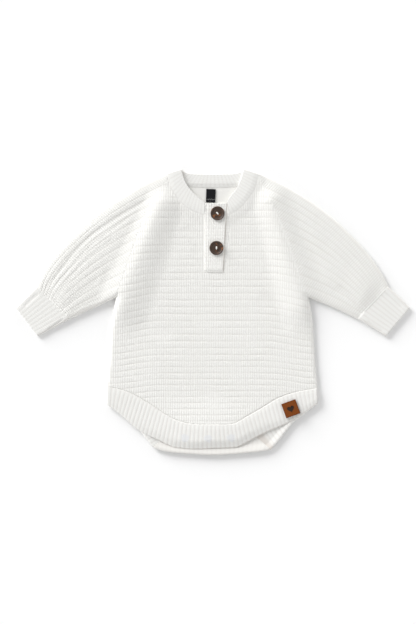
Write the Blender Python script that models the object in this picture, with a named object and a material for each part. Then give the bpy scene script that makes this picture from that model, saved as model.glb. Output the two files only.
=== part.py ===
"""Baby bubble romper in chunky cotton knit, laid flat on its back with its front up.

The garment lies on z = 0 with its neck towards +Y. Left and right are as seen from above: left is -X.
Blender's units are metres. The tables and functions below work in millimetres, and add_object turns
them into metres.
"""

import bmesh
import bpy
import numpy as np

METRES = 0.001

# Cloth walls and the space between them
WALL = 2.0  # knit wall without its ridges
BAND_WALL = 2.3  # ribbed band without its ribs
SEAM = 0.3  # gap between pieces at a seam, and between layers
CHORD = 0.25  # more room at a seam that curves, because the meshes' edges cut across the curve
BACK_TOP = 2.2  # upper face of the back layer
FRONT_LOW = BACK_TOP + SEAM  # lower face of the front layer where nothing lifts it
MIDDLE = BACK_TOP + SEAM / 2  # height of a folded edge
RIDGE = 0.8  # height of a knit ridge on the body and sleeves
RIB = 0.6  # height of a rib on the bands
EDGE_ROLL = 6.0  # width over which a folded edge rounds off
EDGE_FALL = 1.4
BACK_ROLL = 4.0
BACK_FALL = 0.9
EDGE_MARGIN = 4.5  # width of a flattened tube's rounded edge
EDGE_HALF = 0.3  # the same edge has points at this share of that width,
EDGE_BULGE = 0.7  # and at this share of its height above and below the middle


def table(columns, *rows):
    """Rows of numbers under named columns."""
    return dict(zip(columns.split(), np.array(rows, float).T))


# Outline of the laid garment. left and right are distances from the middle line, up is the place along it.
RAGLAN = table(
    "up left right",
    (171.5, 58.6, 60.6),
    (158.0, 71.0, 68.5),
    (136.0, 83.0, 79.6),
    (89.4, 101.8, 98.5),
    (43.0, 117.5, 113.4),
    (18.0, 125.9, 124.5),
)
SIDE = table(
    "up left right",
    (18.0, 125.9, 124.5),
    (-9.0, 129.9, 128.8),
    (-62.7, 133.6, 132.2),
    (-97.0, 137.4, 135.4),
)
SLEEVE_TOP = table(
    "up left right",
    (180.4, 59.6, 60.8),
    (160.2, 100.2, 100.9),
    (131.0, 146.6, 144.7),
    (98.9, 183.8, 180.2),
    (69.2, 211.6, 206.4),
    (46.9, 224.6, 221.3),
    (32.2, 229.2, 228.9),
)
SLEEVE_UNDER = table(
    "up left right",
    (18.0, 126.9, 125.5),
    (3.3, 157.8, 162.0),
    (-9.8, 186.9, 189.2),
)
CUFF_END = table(
    "up left right",
    (5.2, 256.2, 256.4),
    (-32.0, 227.4, 224.8),
)
# Right side of the slot that the placket closes
SLOT = table(
    "up right",
    (125.6, 23.3),
    (114.0, 23.1),
    (80.0, 19.8),
    (50.4, 16.5),
)
SLOT_LEFT = 11.0  # left side of the slot, from the middle line
SLOT_FOOT = 50.4

# Each row is one rib line: where it leaves the seam, and where it ends at the free edge.
RIB_LINE = "seam_x seam_up free_x free_up"
SHOULDER_LEFT = (-58.6, 177.9, -40.6, 183.8)  # axis of the neckband's fold, as a rib line
SHOULDER_RIGHT = (59.6, 177.1, 40.0, 183.8)
NECK_FRONT_LEFT = table(
    RIB_LINE,
    (-11.5, 125.6, -11.3, 142.2),
    (-25.7, 131.0, -20.5, 149.9),
    (-35.2, 136.2, -27.0, 156.4),
    (-46.5, 147.2, -33.5, 164.8),
    (-54.3, 159.6, -38.0, 174.5),
    SHOULDER_LEFT,
)
NECK_BACK = table(
    RIB_LINE,
    SHOULDER_LEFT,
    (-50.8, 167.4, -33.5, 180.6),
    (-34.8, 162.2, -21.8, 178.9),
    (-0.4, 160.9, -0.4, 178.7),
    (32.8, 162.2, 22.4, 178.9),
    (50.8, 167.4, 33.5, 180.6),
    SHOULDER_RIGHT,
)
NECK_FRONT_RIGHT = table(
    RIB_LINE,
    SHOULDER_RIGHT,
    (54.8, 160.0, 36.0, 171.5),
    (45.8, 146.6, 28.9, 157.7),
    (37.2, 136.2, 23.0, 150.5),
    (24.2, 126.8, 18.9, 143.4),
)
LEG_BAND = table(
    RIB_LINE,
    (-137.4, -97.5, -136.9, -121.2),
    (-115.4, -102.6, -122.6, -131.6),
    (-81.6, -120.5, -92.7, -156.3),
    (-62.8, -132.9, -70.6, -166.7),
    (-42.6, -142.6, -47.2, -176.4),
    (-21.8, -146.2, -23.8, -178.4),
    (-1.0, -146.8, -1.0, -177.3),
    (23.7, -146.1, 27.6, -176.2),
    (44.5, -136.2, 52.3, -164.7),
    (64.0, -125.1, 71.8, -155.0),
    (85.2, -112.5, 93.9, -145.9),
    (111.2, -103.9, 117.3, -132.3),
    (135.4, -99.5, 136.1, -119.0),
)
CROTCH_BAND = table(
    RIB_LINE,
    (-75.5, -174.1, -76.6, -176.8),
    (-66.3, -167.4, -67.3, -179.9),
    (-57.0, -161.0, -57.0, -182.2),
    (-46.0, -156.2, -44.8, -183.5),
    (-29.6, -154.3, -27.0, -184.9),
    (-1.0, -153.7, -1.0, -186.2),
    (27.6, -154.3, 25.0, -184.9),
    (46.0, -156.6, 41.8, -183.4),
    (57.0, -162.9, 53.5, -182.3),
    (65.0, -169.9, 62.6, -181.2),
    (73.4, -177.2, 72.2, -179.8),
)
BACK_LEG_LEFT = table(
    RIB_LINE,
    (-137.4, -97.5, -136.9, -121.2),
    (-110.2, -108.2, -121.9, -131.6),
    (-88.1, -121.2, -106.3, -145.9),
    (-71.2, -139.4, -92.4, -157.6),
    (-62.0, -151.0, -84.9, -167.4),
    (-54.2, -158.0, -78.6, -175.2),
)
BACK_LEG_RIGHT = table(
    RIB_LINE,
    (135.4, -99.5, 136.1, -119.0),
    (108.2, -109.5, 119.9, -132.0),
    (87.4, -119.9, 103.6, -145.0),
    (71.8, -136.8, 89.6, -162.4),
    (61.4, -149.8, 79.8, -174.2),
    (52.5, -158.2, 75.9, -178.6),
)
BACK_HEM = -152.9  # foot of the back panel, at the seam of the back crotch band
BACK_NECK = 160.5  # middle of the back panel's neckline
BACK_TIPS = (162.7, 163.6, 164.8, 166.2, 167.8, 169.2, 170.4)  # rows of its tips beside the neckline
# Placket strips. left and right are places along x.
OVERLAP = table(
    "up left right",
    (141.0, -10.7, 18.6),
    (135.6, -10.7, 18.3),
    (99.8, -10.7, 15.9),
    (51.0, -10.7, 13.3),
)
UNDERLAP = table(
    "up left right",
    (140.4, -6.0, 19.2),
    (125.6, -6.0, 23.2),
    (114.0, -6.0, 23.1),
    (80.0, -6.0, 19.8),
    (51.0, -6.0, 16.5),
)

# Knit ridges, counted up from the hem. Grooves lie at whole counts and crests at halves.
RIDGES = table(
    "up count",
    (-146.0, -0.5),
    (-142.0, 0),
    (-56.2, 11),
    (50.4, 23),
    (140.1, 33),
    (169.0, 36.5),
)
# How far a ridge hangs down where it reaches the side of the body
DROOP = table(
    "up drop",
    (-150.0, 0.0),
    (-110.0, 5.0),
    (-60.0, 7.0),
    (15.0, 10.0),
    (90.0, 5.0),
    (165.0, 1.0),
)
DROOP_FROM_TO = (70.0, 132.0)
SLEEVE_RIDGES = 11
CUFF_RIBS = 9
NECK_FRONT_RIBS = 14
NECK_BACK_RIBS = 21
LEG_BAND_RIBS = 54
CROTCH_RIBS = 26
BACK_LEG_RIBS = 16
PLACKET_RIDGES = 19

# Layers of the bands and the placket
LEG_BAND_LOW = 3.3  # lower face of the front leg band at the sides
BAND_ROLL = 3.0
NECK_FOLD = 3.25  # height of the axis that the neckband folds round at the shoulders
NECK_OUTER = 3.25
NECK_INNER = 0.15
FOLD_STEPS = 6
EDGE_DROOP = 8.0  # width over which the front leg band falls back onto the band behind it
BACK_LEG_THICKNESS = 2.6
CROTCH_THICKNESS = 3.0
UNDERLAP_LOW = 2.6
UNDERLAP_WALL = 1.7
OVERLAP_WALL = 1.4
OVERLAP_RIDGE = 0.4
OVERLAP_CURL = 0.3
OVERLAP_ROLL = 3.0
UNDERLAP_ROWS = 12

# Mesh rows and columns
PANEL_SHARES = (0, 0.04, 0.1, 0.18, 0.28, 0.4, 0.6, 1.0)  # from a side edge to the slot
HEM_ROWS = 15
SIDE_ROWS = 5
RAGLAN_ROWS = 13
BACK_SHARES = (0, 0.015, 0.04, 0.5, 1.0)
SEAM_STEPS = 60  # fineness with which a band's seam is read
EDGE_TURNS = 30  # how often a course's end is moved on to the edge that it droops to
SLEEVE_ROWS = 10
CUFF_ROWS = 4
BAND_SHARES = (0, 0.45, 0.9, 1)
LEG_BAND_SHARES = (0, 0.45, 0.72, 0.9, 1)
PLACKET_SHARES = (0, 0.5, 0.92, 1)
BUTTON_SEGMENTS = 28
SNAP_SEGMENTS = 14

# How the front layer stands up from the back one. Each soft fold runs along a line, and its two flanks
# have their own widths.
FOLDS = table(
    "top_x top_up foot_x foot_up height left_width right_width fade",
    (-67.0, 140.0, -119.0, 14.0, 5.4, 24.0, 32.0, 18.0),
    (76.5, 142.0, 115.0, 14.0, 5.4, 27.0, 25.0, 18.0),
)
FOLD_SPREAD = 0.4  # share by which a fold widens from its top to its foot
PIN_WIDTH = 14.0  # width over which the front layer comes down to a folded edge
SNAP_LIFT = 2.3  # how far the snaps hold the front leg band off the back one
SNAP_SPREAD = 62.0
SNAP_MIDDLE = -3.0
SNAP_LIFT_FROM_TO = (105.0, 150.0)  # distances below the origin over which this lift grows
SLEEVE_PUFF = 1.6
PUFF_START = 0.15  # share of a sleeve's length, from its cuff, over which its air grows

# Trims
BUTTON_RADIUS = 9.1
BUTTON_HEIGHT = 3.0
BUTTON_RIM = 1.3
BUTTON_BEVEL = 0.8  # height of the rim's rounding, and depth of the face below the rim
BUTTON_FOOT = 1.2  # how far the underside's edge is cut back
BUTTON_DISH = 0.3  # how far the face hollows towards its middle
BUTTON_HOLE = 0.85
BUTTON_HOLE_OFFSET = 1.45
BUTTONS = {"button_top": (6.1, 127.8, 128.0), "button_bottom": (4.8, 82.9, 90.0)}  # x, up, turn in degrees
SNAP_RADIUS = 4.5
SNAP_BEVEL = 0.3
SNAP_NECK = 2.5  # radius where the socket and the stud hold each other
SNAPS = {"snap_left": (-36.1, -164.0), "snap_middle": (-6.2, -164.5), "snap_right": (23.7, -164.0)}
PATCH_SIDE = 19.5
PATCH_THICKNESS = 1.2
PATCH_PLACE = (101.3, -125.8)
PATCH_TURN = 20.0
LABEL_SIZE = (12.2, 17.4)
LABEL_THICKNESS = 0.6
LABEL_PLACE = (-2.6, 150.7)
LABEL_TURN = -2.0

# Colours, linear
KNIT = (0.86, 0.86, 0.83)
COCONUT = (0.045, 0.022, 0.012)
LEATHER = (0.30, 0.085, 0.018)
LABEL = (0.010, 0.010, 0.012)
SNAP = (0.62, 0.65, 0.70)


# Curves and grids


def smooth(at, knots, values):
    """Monotone cubic through the knots, so that an edge has no bumps between them."""
    if knots[0] > knots[-1]:
        knots, values = knots[::-1], values[::-1]
    step = np.diff(knots)
    slope = np.diff(values) / step
    lean = np.r_[slope[0], np.zeros(len(slope) - 1), slope[-1]]
    for i in range(1, len(slope)):
        if slope[i - 1] * slope[i] > 0:
            before = 2 * step[i] + step[i - 1]
            after = step[i] + 2 * step[i - 1]
            lean[i] = (before + after) / (before / slope[i - 1] + after / slope[i])
    at = np.clip(at, knots[0], knots[-1])
    i = np.clip(np.searchsorted(knots, at) - 1, 0, len(step) - 1)
    t = (at - knots[i]) / step[i]
    h = step[i]
    return (
        values[i] * (1 + 2 * t) * (1 - t) ** 2
        + lean[i] * h * t * (1 - t) ** 2
        + values[i + 1] * t * t * (3 - 2 * t)
        + lean[i + 1] * h * t * t * (t - 1)
    )


def edge(outline, side, up):
    """Distance from the middle line to an outline table's left or right edge."""
    return smooth(up, outline["up"], outline[side])


def even(points, shares):
    """Points at these shares of the length of a smooth curve through the given points."""
    points = np.array(points, float)
    along = np.r_[0, np.cumsum(np.hypot(*np.diff(points, axis=0).T))]
    fine = np.linspace(0, along[-1], 400)
    dense = np.stack([smooth(fine, along, points[:, k]) for k in (0, 1)], axis=1)
    length = np.r_[0, np.cumsum(np.hypot(*np.diff(dense, axis=0).T))]
    return np.stack([np.interp(shares * length[-1], length, dense[:, k]) for k in (0, 1)], axis=1)


def patch(foot, head, start, end, shares_u, shares_v):
    """Grid of plane points between four curves. u runs from foot to head and v from start to end."""
    foot, head = even(foot, shares_v), even(head, shares_v)
    start, end = even(start, shares_u), even(end, shares_u)
    u, v = shares_u[:, None, None], shares_v[None, :, None]
    corners = (
        (1 - u) * (1 - v) * foot[0] + (1 - u) * v * foot[-1] + u * (1 - v) * head[0] + u * v * head[-1]
    )
    return (1 - u) * foot + u * head + (1 - v) * start[:, None] + v * end[:, None] - corners


def rounded(distance, width, depth):
    """How far a face falls at this distance from an edge that rounds off."""
    t = 1 - np.clip(distance / width, 0, 1)
    return depth * (1 - np.sqrt(1 - t * t))


def soft_step(value, low, high):
    t = np.clip((value - low) / (high - low), 0, 1)
    return t * t * (3 - 2 * t)


def folds(x, up):
    """How far the front layer stands up along its soft folds."""
    total = np.zeros(np.broadcast(x, up).shape)
    for row in zip(*FOLDS.values()):
        top_x, top_up, foot_x, foot_up, height, left_width, right_width, fade = row
        run = np.array((foot_x - top_x, foot_up - top_up))
        length = np.hypot(*run)
        along = ((x - top_x) * run[0] + (up - top_up) * run[1]) / length
        aside = ((up - top_up) * run[0] - (x - top_x) * run[1]) / length
        width = np.where(aside < 0, left_width, right_width)
        width = width * (1 + FOLD_SPREAD * np.clip(along / length, 0, 1))
        beyond = np.maximum(0, np.maximum(-along, along - length))
        total += height * (1 - soft_step(np.abs(aside) / width, 0, 1)) * np.exp(-((beyond / fade) ** 2))
    return total


def pinned(distance):
    """Share of its folds' height that the front layer has at this distance from a folded edge."""
    t = 1 - np.clip(distance / PIN_WIDTH, 0, 1)
    return np.sqrt(1 - t * t)


def hem_lift(x, up):
    """How far the snaps hold the front layer off the back one."""
    lift = SNAP_LIFT * np.exp(-(((x - SNAP_MIDDLE) / SNAP_SPREAD) ** 2))
    return lift * soft_step(-up, *SNAP_LIFT_FROM_TO)


# Meshes


def colour_of(name, base, roughness, metallic=0):
    material = bpy.data.materials.get(name) or bpy.data.materials.new(name)
    material.use_nodes = True
    shader = material.node_tree.nodes["Principled BSDF"]
    shader.inputs["Base Color"].default_value = (*base, 1)
    shader.inputs["Roughness"].default_value = roughness
    shader.inputs["Metallic"].default_value = metallic
    return material


def add_object(name, points, faces, material):
    """A closed mesh from points in millimetres, facing out."""
    mesh = bpy.data.meshes.new(name)
    mesh.from_pydata((np.asarray(points) * METRES).tolist(), [], faces)
    shape = bmesh.new()
    shape.from_mesh(mesh)
    bmesh.ops.delete(shape, geom=[v for v in shape.verts if not v.link_faces], context="VERTS")
    bmesh.ops.recalc_face_normals(shape, faces=shape.faces)
    shape.to_mesh(mesh)
    shape.free()
    mesh.materials.append(material)
    made = bpy.data.objects.new(name, mesh)
    bpy.context.scene.collection.objects.link(made)
    return made


def wall(name, outer, inner, material, ring=False, left_out=lambda i, j: False):
    """A cloth wall between two grids of points, closed along every free edge."""
    rows, across = outer.shape[:2]
    count = rows * across
    index = np.arange(count).reshape(rows, across)
    faces, edges = [], set()
    for i in range(rows - 1):
        for j in range(across if ring else across - 1):
            if left_out(i, j):
                continue
            k = (j + 1) % across
            corners = [int(n) for n in (index[i, j], index[i, k], index[i + 1, k], index[i + 1, j])]
            faces.append(corners)
            faces.append([n + count for n in reversed(corners)])
            edges.update(zip(corners, corners[1:] + corners[:1]))
    for a, b in edges:
        if (b, a) not in edges:
            faces.append([b, a, a + count, b + count])
    points = np.concatenate([outer.reshape(-1, 3), inner.reshape(-1, 3)])
    return add_object(name, points, faces, material)


def with_height(plane, height):
    """Plane points with a height added as the third coordinate."""
    return np.concatenate([plane, np.broadcast_to(height, plane.shape[:2])[..., None]], axis=2)


def ridge_line(count):
    """Shares and heights (0 or 1) of the grooves and crests of this many ridges side by side."""
    shares = np.linspace(0, 1, 2 * count + 1)
    heights = np.arange(2 * count + 1) % 2
    return shares, heights.astype(float)


# Body panels


def rib_lines(lines, ribs):
    """Rib lines spread evenly along a band: seam points, free points and the rib height (0 or 1) at each."""
    seam = np.stack([lines["seam_x"], lines["seam_up"]], axis=1)
    free = np.stack([lines["free_x"], lines["free_up"]], axis=1)
    steps = (np.hypot(*np.diff(seam, axis=0).T) + np.hypot(*np.diff(free, axis=0).T)) / 2
    knots = np.r_[0, np.cumsum(steps)]
    shares, crest = ridge_line(ribs)
    at = shares * knots[-1]
    seam = np.stack([smooth(at, knots, seam[:, k]) for k in (0, 1)], axis=1)
    free = np.stack([smooth(at, knots, free[:, k]) for k in (0, 1)], axis=1)
    return seam, free, crest


def seam_reach(lines, side, up):
    """Distance from the middle line to a band's seam at this height, and the seam's highest place."""
    sign = -1 if side == "left" else 1
    seam = rib_lines(lines, SEAM_STEPS)[0] * (sign, 1)
    seam = seam[seam[:, 0] > 0]
    order = np.argsort(seam[:, 1])
    return np.interp(up, seam[order, 1], seam[order, 0]), seam[order[-1], 1]


def panel_edge(lines, side, up):
    """Distance from the middle line to a panel's edge: raglan, side, then the seam of the band below."""
    hem, corner = seam_reach(lines, side, up)
    body = np.where(up > SIDE["up"][0], edge(RAGLAN, side, up), edge(SIDE, side, up))
    return np.where(up > corner, body, hem - CHORD) - SEAM / 2


def body_edge(side, up):
    return panel_edge(LEG_BAND, side, up)


def back_edge(side, up):
    return panel_edge(BACK_LEG_LEFT if side == "left" else BACK_LEG_RIGHT, side, up)


def to_sides(x, up):
    """Distance to the nearer side of the front, or to the underarm where that is nearer."""
    below = np.minimum(up, SIDE["up"][0])
    nearer = np.minimum(body_edge("left", below) + x, body_edge("right", below) - x)
    return np.hypot(np.maximum(nearer, 0), up - below)


def hanging(level, x):
    """Height of a knit course at x, where it droops towards the sides."""
    return level - smooth(level, DROOP["up"], DROOP["drop"]) * soft_step(np.abs(x), *DROOP_FROM_TO)


def course(level, shares):
    """Plane points along one knit course of the front panel, from its left edge to its right edge."""
    halves = []
    for side, sign in (("left", -1), ("right", 1)):
        out = body_edge(side, level)
        for _ in range(EDGE_TURNS):
            out = body_edge(side, hanging(level, out))
        if level > SLOT["up"][0]:
            inside = seam_reach(NECK_FRONT_LEFT if side == "left" else NECK_FRONT_RIGHT, side, level)[0]
        else:
            inside = SLOT_LEFT if side == "left" else smooth(level, SLOT["up"], SLOT["right"])
        halves.append(sign * (out + (inside + SEAM + CHORD - out) * shares))
    x = np.r_[halves[0], halves[1][::-1]]
    return np.stack([x, hanging(level, x)], axis=1)


def front_panel(material):
    shares = np.array(PANEL_SHARES)
    counts = np.arange(-0.5, RIDGES["count"][-1] + 0.1, 0.5)
    levels = np.interp(counts, RIDGES["count"], RIDGES["up"])
    plane = np.array([course(level, shares) for level in levels])
    x, up = plane[..., 0], plane[..., 1]
    to_side = to_sides(x, up)
    crest = np.abs(np.sin(np.pi * counts))[:, None]
    low = FRONT_LOW + hem_lift(x, up) + folds(x, up) * pinned(to_side)
    top = low + WALL + RIDGE * crest - rounded(to_side, EDGE_ROLL, EDGE_FALL)
    middle = len(shares) - 1
    return wall(
        "front_panel",
        with_height(plane, top),
        with_height(plane, low),
        material,
        left_out=lambda i, j: j == middle and levels[i] > SLOT_FOOT - 0.1,
    )


def back_panel(material):
    """The back: plain, with a flat underside, and a tip on either side of its neckline."""
    corner, underarm = BACK_LEG_LEFT["seam_up"][0], SIDE["up"][0]
    levels = np.r_[
        np.linspace(BACK_HEM, corner, HEM_ROWS),
        np.linspace(corner, underarm, SIDE_ROWS)[1:],
        np.linspace(underarm, BACK_NECK, RAGLAN_ROWS)[1:],
        BACK_TIPS,
    ]
    shares = np.array(BACK_SHARES)
    halves = []
    for side, sign in (("left", -1), ("right", 1)):
        out = back_edge(side, levels)[:, None]
        inside = seam_reach(NECK_BACK, side, np.maximum(levels, BACK_TIPS[0]))[0][:, None] + SEAM + CHORD
        halves.append(sign * (out + (inside - out) * shares))
    x = np.concatenate([halves[0], halves[1][:, ::-1]], axis=1)
    up = np.broadcast_to(levels[:, None], x.shape)
    plane = np.stack([x, up], axis=2)
    to_side = np.minimum(back_edge("left", up) + x, back_edge("right", up) - x)
    to_side = np.where(up < SIDE["up"][0], to_side, BACK_ROLL)
    middle = len(shares) - 1
    return wall(
        "back_panel",
        with_height(plane, BACK_TOP),
        with_height(plane, rounded(to_side, BACK_ROLL, BACK_FALL)),
        material,
        left_out=lambda i, j: j == middle and levels[i] > BACK_NECK - 0.1,
    )


# Sleeves and cuffs


def tube(name, plane, wide, lift, crest_height, crests, under_points, material):
    """A flattened tube. plane(shares) gives its plane points for shares across it, wide its width per row."""
    rows = len(wide)
    margin = EDGE_MARGIN / wide[:, None]
    inset = WALL / wide[:, None]
    across, crest = ridge_line(crests)
    upper = margin + (1 - 2 * margin) * across
    lower = margin + (1 - 2 * margin) * np.linspace(1, 0, under_points)
    none = np.zeros((rows, 1))
    shares = np.concatenate(
        [none, margin * EDGE_HALF, upper, 1 - margin * EDGE_HALF]
        + [none + 1, 1 - margin * EDGE_HALF, lower, margin * EDGE_HALF],
        axis=1,
    )
    points = plane(shares)
    raised = FRONT_LOW + lift(points)
    top = raised + WALL
    head = len(across)
    outer = np.zeros(shares.shape)
    outer[:, 0] = MIDDLE
    outer[:, 1] = MIDDLE + EDGE_BULGE * (top[:, 1] - MIDDLE)
    outer[:, 2 : 2 + head] = top[:, 2 : 2 + head] + crest_height * crest
    outer[:, 2 + head] = MIDDLE + EDGE_BULGE * (top[:, 2 + head] - MIDDLE)
    outer[:, 3 + head] = MIDDLE
    outer[:, 4 + head] = (1 - EDGE_BULGE) * MIDDLE
    outer[:, 5 + head : -1] = 0
    outer[:, -1] = (1 - EDGE_BULGE) * MIDDLE
    inner = np.full(shares.shape, BACK_TOP)
    inner[:, 1 : 3 + head] = raised[:, 1 : 3 + head]
    inner[:, 0] = inner[:, 3 + head] = MIDDLE
    inside = plane(inset + (1 - 2 * inset) * shares)
    return wall(name, with_height(points, outer), with_height(inside, inner), material, ring=True)


def mirrored(outline, side):
    """Plane points of an outline table's left or right edge."""
    sign = -1 if side == "left" else 1
    return np.stack([sign * outline[side], outline["up"]], axis=1)


def sleeve_plane(side, rows):
    """Function from shares across a sleeve to its plane points, and the sleeve's width in each row."""
    sign = -1 if side == "left" else 1
    up = np.linspace(RAGLAN["up"][-1], RAGLAN["up"][0], SEAM_STEPS)
    raglan = np.stack([sign * (edge(RAGLAN, side, up) + SEAM / 2 + CHORD), up], axis=1)
    top = mirrored(SLEEVE_TOP, side)
    under = mirrored(SLEEVE_UNDER, side)
    neck = top[0] + (sign * SEAM, -SEAM)
    raglan = np.concatenate([under[:1], raglan[1:], [neck]])
    top[0] = neck
    across = np.linspace(0, 1, 61)
    along = np.linspace(0, 1, rows)
    grid = patch(under[::-1], top[::-1], np.array([under[-1], top[-1]]), raglan, across, along)
    wide = np.hypot(*(grid[-1] - grid[0]).T)

    def plane(shares):
        points = [
            np.stack([np.interp(s, across, grid[:, i, k]) for k in (0, 1)], axis=1)
            for i, s in enumerate(shares)
        ]
        return np.array(points)

    return plane, wide


def sleeve(side, material):
    plane, wide = sleeve_plane(side, SLEEVE_ROWS)
    along = np.linspace(0, 1, SLEEVE_ROWS)[:, None]

    def lift(points):
        across = np.hypot(*np.moveaxis(points - points[:, :1], 2, 0))
        belly = np.sin(np.pi * np.clip(across / wide[:, None], 0, 1)) * (1 - along**4)
        lifted = folds(points[..., 0], points[..., 1]) * pinned(across)
        return lifted + SLEEVE_PUFF * belly * soft_step(along, 0, PUFF_START)

    return tube(f"sleeve_{side}", plane, wide, lift, RIDGE, SLEEVE_RIDGES, 18, material)


def cuff(side, material):
    sign = -1 if side == "left" else 1
    top = np.array([mirrored(SLEEVE_TOP, side)[-1], mirrored(CUFF_END, side)[0]])
    under = np.array([mirrored(SLEEVE_UNDER, side)[-1], mirrored(CUFF_END, side)[1]])
    shares = np.linspace(SEAM / np.hypot(*(top[1] - top[0])), 1, CUFF_ROWS)[:, None]
    top, under = top[0] + shares * (top[1] - top[0]), under[0] + shares * (under[1] - under[0])
    wide = np.hypot(*(top - under).T)

    def plane(across):
        return under[:, None] + across[..., None] * (top - under)[:, None]

    return tube(f"cuff_{side}", plane, wide, lambda points: 0 * points[..., 0], RIB, CUFF_RIBS, 5, material)


# Ribbed bands


def across_band(seam, free, shares=BAND_SHARES):
    """Plane points from the seam to the free edge of each rib line, and their distances from that edge."""
    shares = np.array(shares)[None, :, None]
    plane = seam[:, None] + shares * (free - seam)[:, None]
    to_free = np.hypot(*np.moveaxis(free[:, None] - plane, 2, 0))
    return plane, to_free


def leg_band_low(x, up, to_free=EDGE_DROOP):
    """Underside of the front leg band, which comes down towards its free edge."""
    return LEG_BAND_LOW + hem_lift(x, up) * soft_step(to_free, 0, EDGE_DROOP)


def front_leg_band(material):
    seam, free, crest = rib_lines(LEG_BAND, LEG_BAND_RIBS)
    plane, to_free = across_band(seam + (0, -SEAM / 2), free, LEG_BAND_SHARES)
    low = leg_band_low(plane[..., 0], plane[..., 1], to_free)
    top = low + BAND_WALL + RIB * crest[:, None] - rounded(to_free, BAND_ROLL, EDGE_FALL)
    return wall("front_leg_band", with_height(plane, top), with_height(plane, low), material)


def back_band(name, lines, ribs, thickness, material):
    """A band of the back layer: flat below, ribbed above, where its inside shows."""
    seam, free, crest = rib_lines(lines, ribs)
    plane, to_free = across_band(seam, free)
    top = thickness - RIB + RIB * crest[:, None] - rounded(to_free, BAND_ROLL, BACK_FALL)
    low = rounded(to_free, BAND_ROLL, BACK_FALL / 2)
    return wall(name, with_height(plane, top), with_height(plane, low), material)


def neckband(material):
    """The folded neckband: front left, round the left shoulder, back, right shoulder, front right."""
    seams, frees, turns, crests, normals = [], [], [], [], []

    def add(lines, ribs, turn):
        seam, free, crest = rib_lines(lines, ribs)
        seams.extend(seam)
        frees.extend(free)
        crests.extend(crest)
        turns.extend([turn] * len(crest))
        normals.extend([(0.0, 0.0)] * len(crest))

    def fold(line, first, last):
        seam, free = np.array(line[:2]), np.array(line[2:])
        run = (free - seam) / np.hypot(*(free - seam))
        normal = (-run[1], run[0]) if run[0] > 0 else (run[1], -run[0])
        for k in range(1, FOLD_STEPS):
            seams.append(seam)
            frees.append(free)
            crests.append(float(k % 2))
            turns.append(first + (last - first) * k / FOLD_STEPS)
            normals.append(normal)

    add(NECK_FRONT_LEFT, NECK_FRONT_RIBS, 0.0)
    fold(SHOULDER_LEFT, 0.0, np.pi)
    add(NECK_BACK, NECK_BACK_RIBS, np.pi)
    fold(SHOULDER_RIGHT, np.pi, 0.0)
    add(NECK_FRONT_RIGHT, NECK_FRONT_RIBS, 0.0)
    plane, to_free = across_band(np.array(seams), np.array(frees))
    turn, crest = np.array(turns)[:, None], np.array(crests)[:, None]
    normal = np.array(normals)[:, None]
    front = turn < 0.99 * np.pi
    far = NECK_OUTER - rounded(to_free, BAND_ROLL, EDGE_FALL) - np.where(front, RIB * (1 - crest), 0)
    near = NECK_INNER + rounded(to_free, BAND_ROLL, BACK_FALL) + np.where(front, 0, RIB * (1 - crest))
    grids = [
        with_height(plane + (r * np.sin(turn))[..., None] * normal, NECK_FOLD + r * np.cos(turn))
        for r in (far, near)
    ]
    return wall("neckband", grids[0], grids[1], material)


# Placket and trims


def placket_plane(strip, rows, shares):
    """Plane points of a placket strip, row by row from its top."""
    levels = np.linspace(strip["up"][0], strip["up"][-1], rows)
    left = smooth(levels, strip["up"], strip["left"])[:, None]
    right = smooth(levels, strip["up"], strip["right"])[:, None]
    x = left + (right - left) * shares
    return np.stack([x, np.broadcast_to(levels[:, None], x.shape)], axis=2)


def overlap_low(share):
    """Underside of the placket's upper strip, which curls up a little towards its free edge."""
    return UNDERLAP_LOW + UNDERLAP_WALL + SEAM + OVERLAP_CURL * share**2


def placket(material):
    shares = np.array(PLACKET_SHARES)
    _, crest = ridge_line(PLACKET_RIDGES)
    plane = placket_plane(OVERLAP, len(crest), shares)
    low = np.broadcast_to(overlap_low(shares), plane.shape[:2])
    to_free = (1 - shares) * (OVERLAP["right"][0] - OVERLAP["left"][0])
    top = low + OVERLAP_WALL + OVERLAP_RIDGE * crest[:, None] - rounded(to_free, OVERLAP_ROLL, BACK_FALL)
    wall("placket_overlap", with_height(plane, top), with_height(plane, low), material)
    plane = placket_plane(UNDERLAP, UNDERLAP_ROWS, np.array((0.0, 0.5, 1.0)))
    wall(
        "placket_underlap",
        with_height(plane, UNDERLAP_LOW + UNDERLAP_WALL),
        with_height(plane, UNDERLAP_LOW),
        material,
    )


def turned_solid(name, profile, segments, material):
    """A closed solid of revolution about Z. The profile's rows are radius and height, from axis to axis."""
    points, faces = [(0, 0, profile[0][1]), (0, 0, profile[-1][1])], []
    rings = profile[1:-1]
    for radius, height in rings:
        for k in range(segments):
            angle = 2 * np.pi * k / segments
            points.append((radius * np.cos(angle), radius * np.sin(angle), height))
    for k in range(segments):
        a, b = 2 + k, 2 + (k + 1) % segments
        last = (len(rings) - 1) * segments
        faces.append((0, b, a))
        faces.append((1, a + last, b + last))
        for ring in range(len(rings) - 1):
            low, high = ring * segments, (ring + 1) * segments
            faces.append((a + low, b + low, b + high, a + high))
    return add_object(name, points, faces, material)


def place(obj, x, up, height, turn=0.0):
    obj.location = (x * METRES, up * METRES, height * METRES)
    obj.rotation_euler = (0, 0, np.radians(turn))


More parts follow.
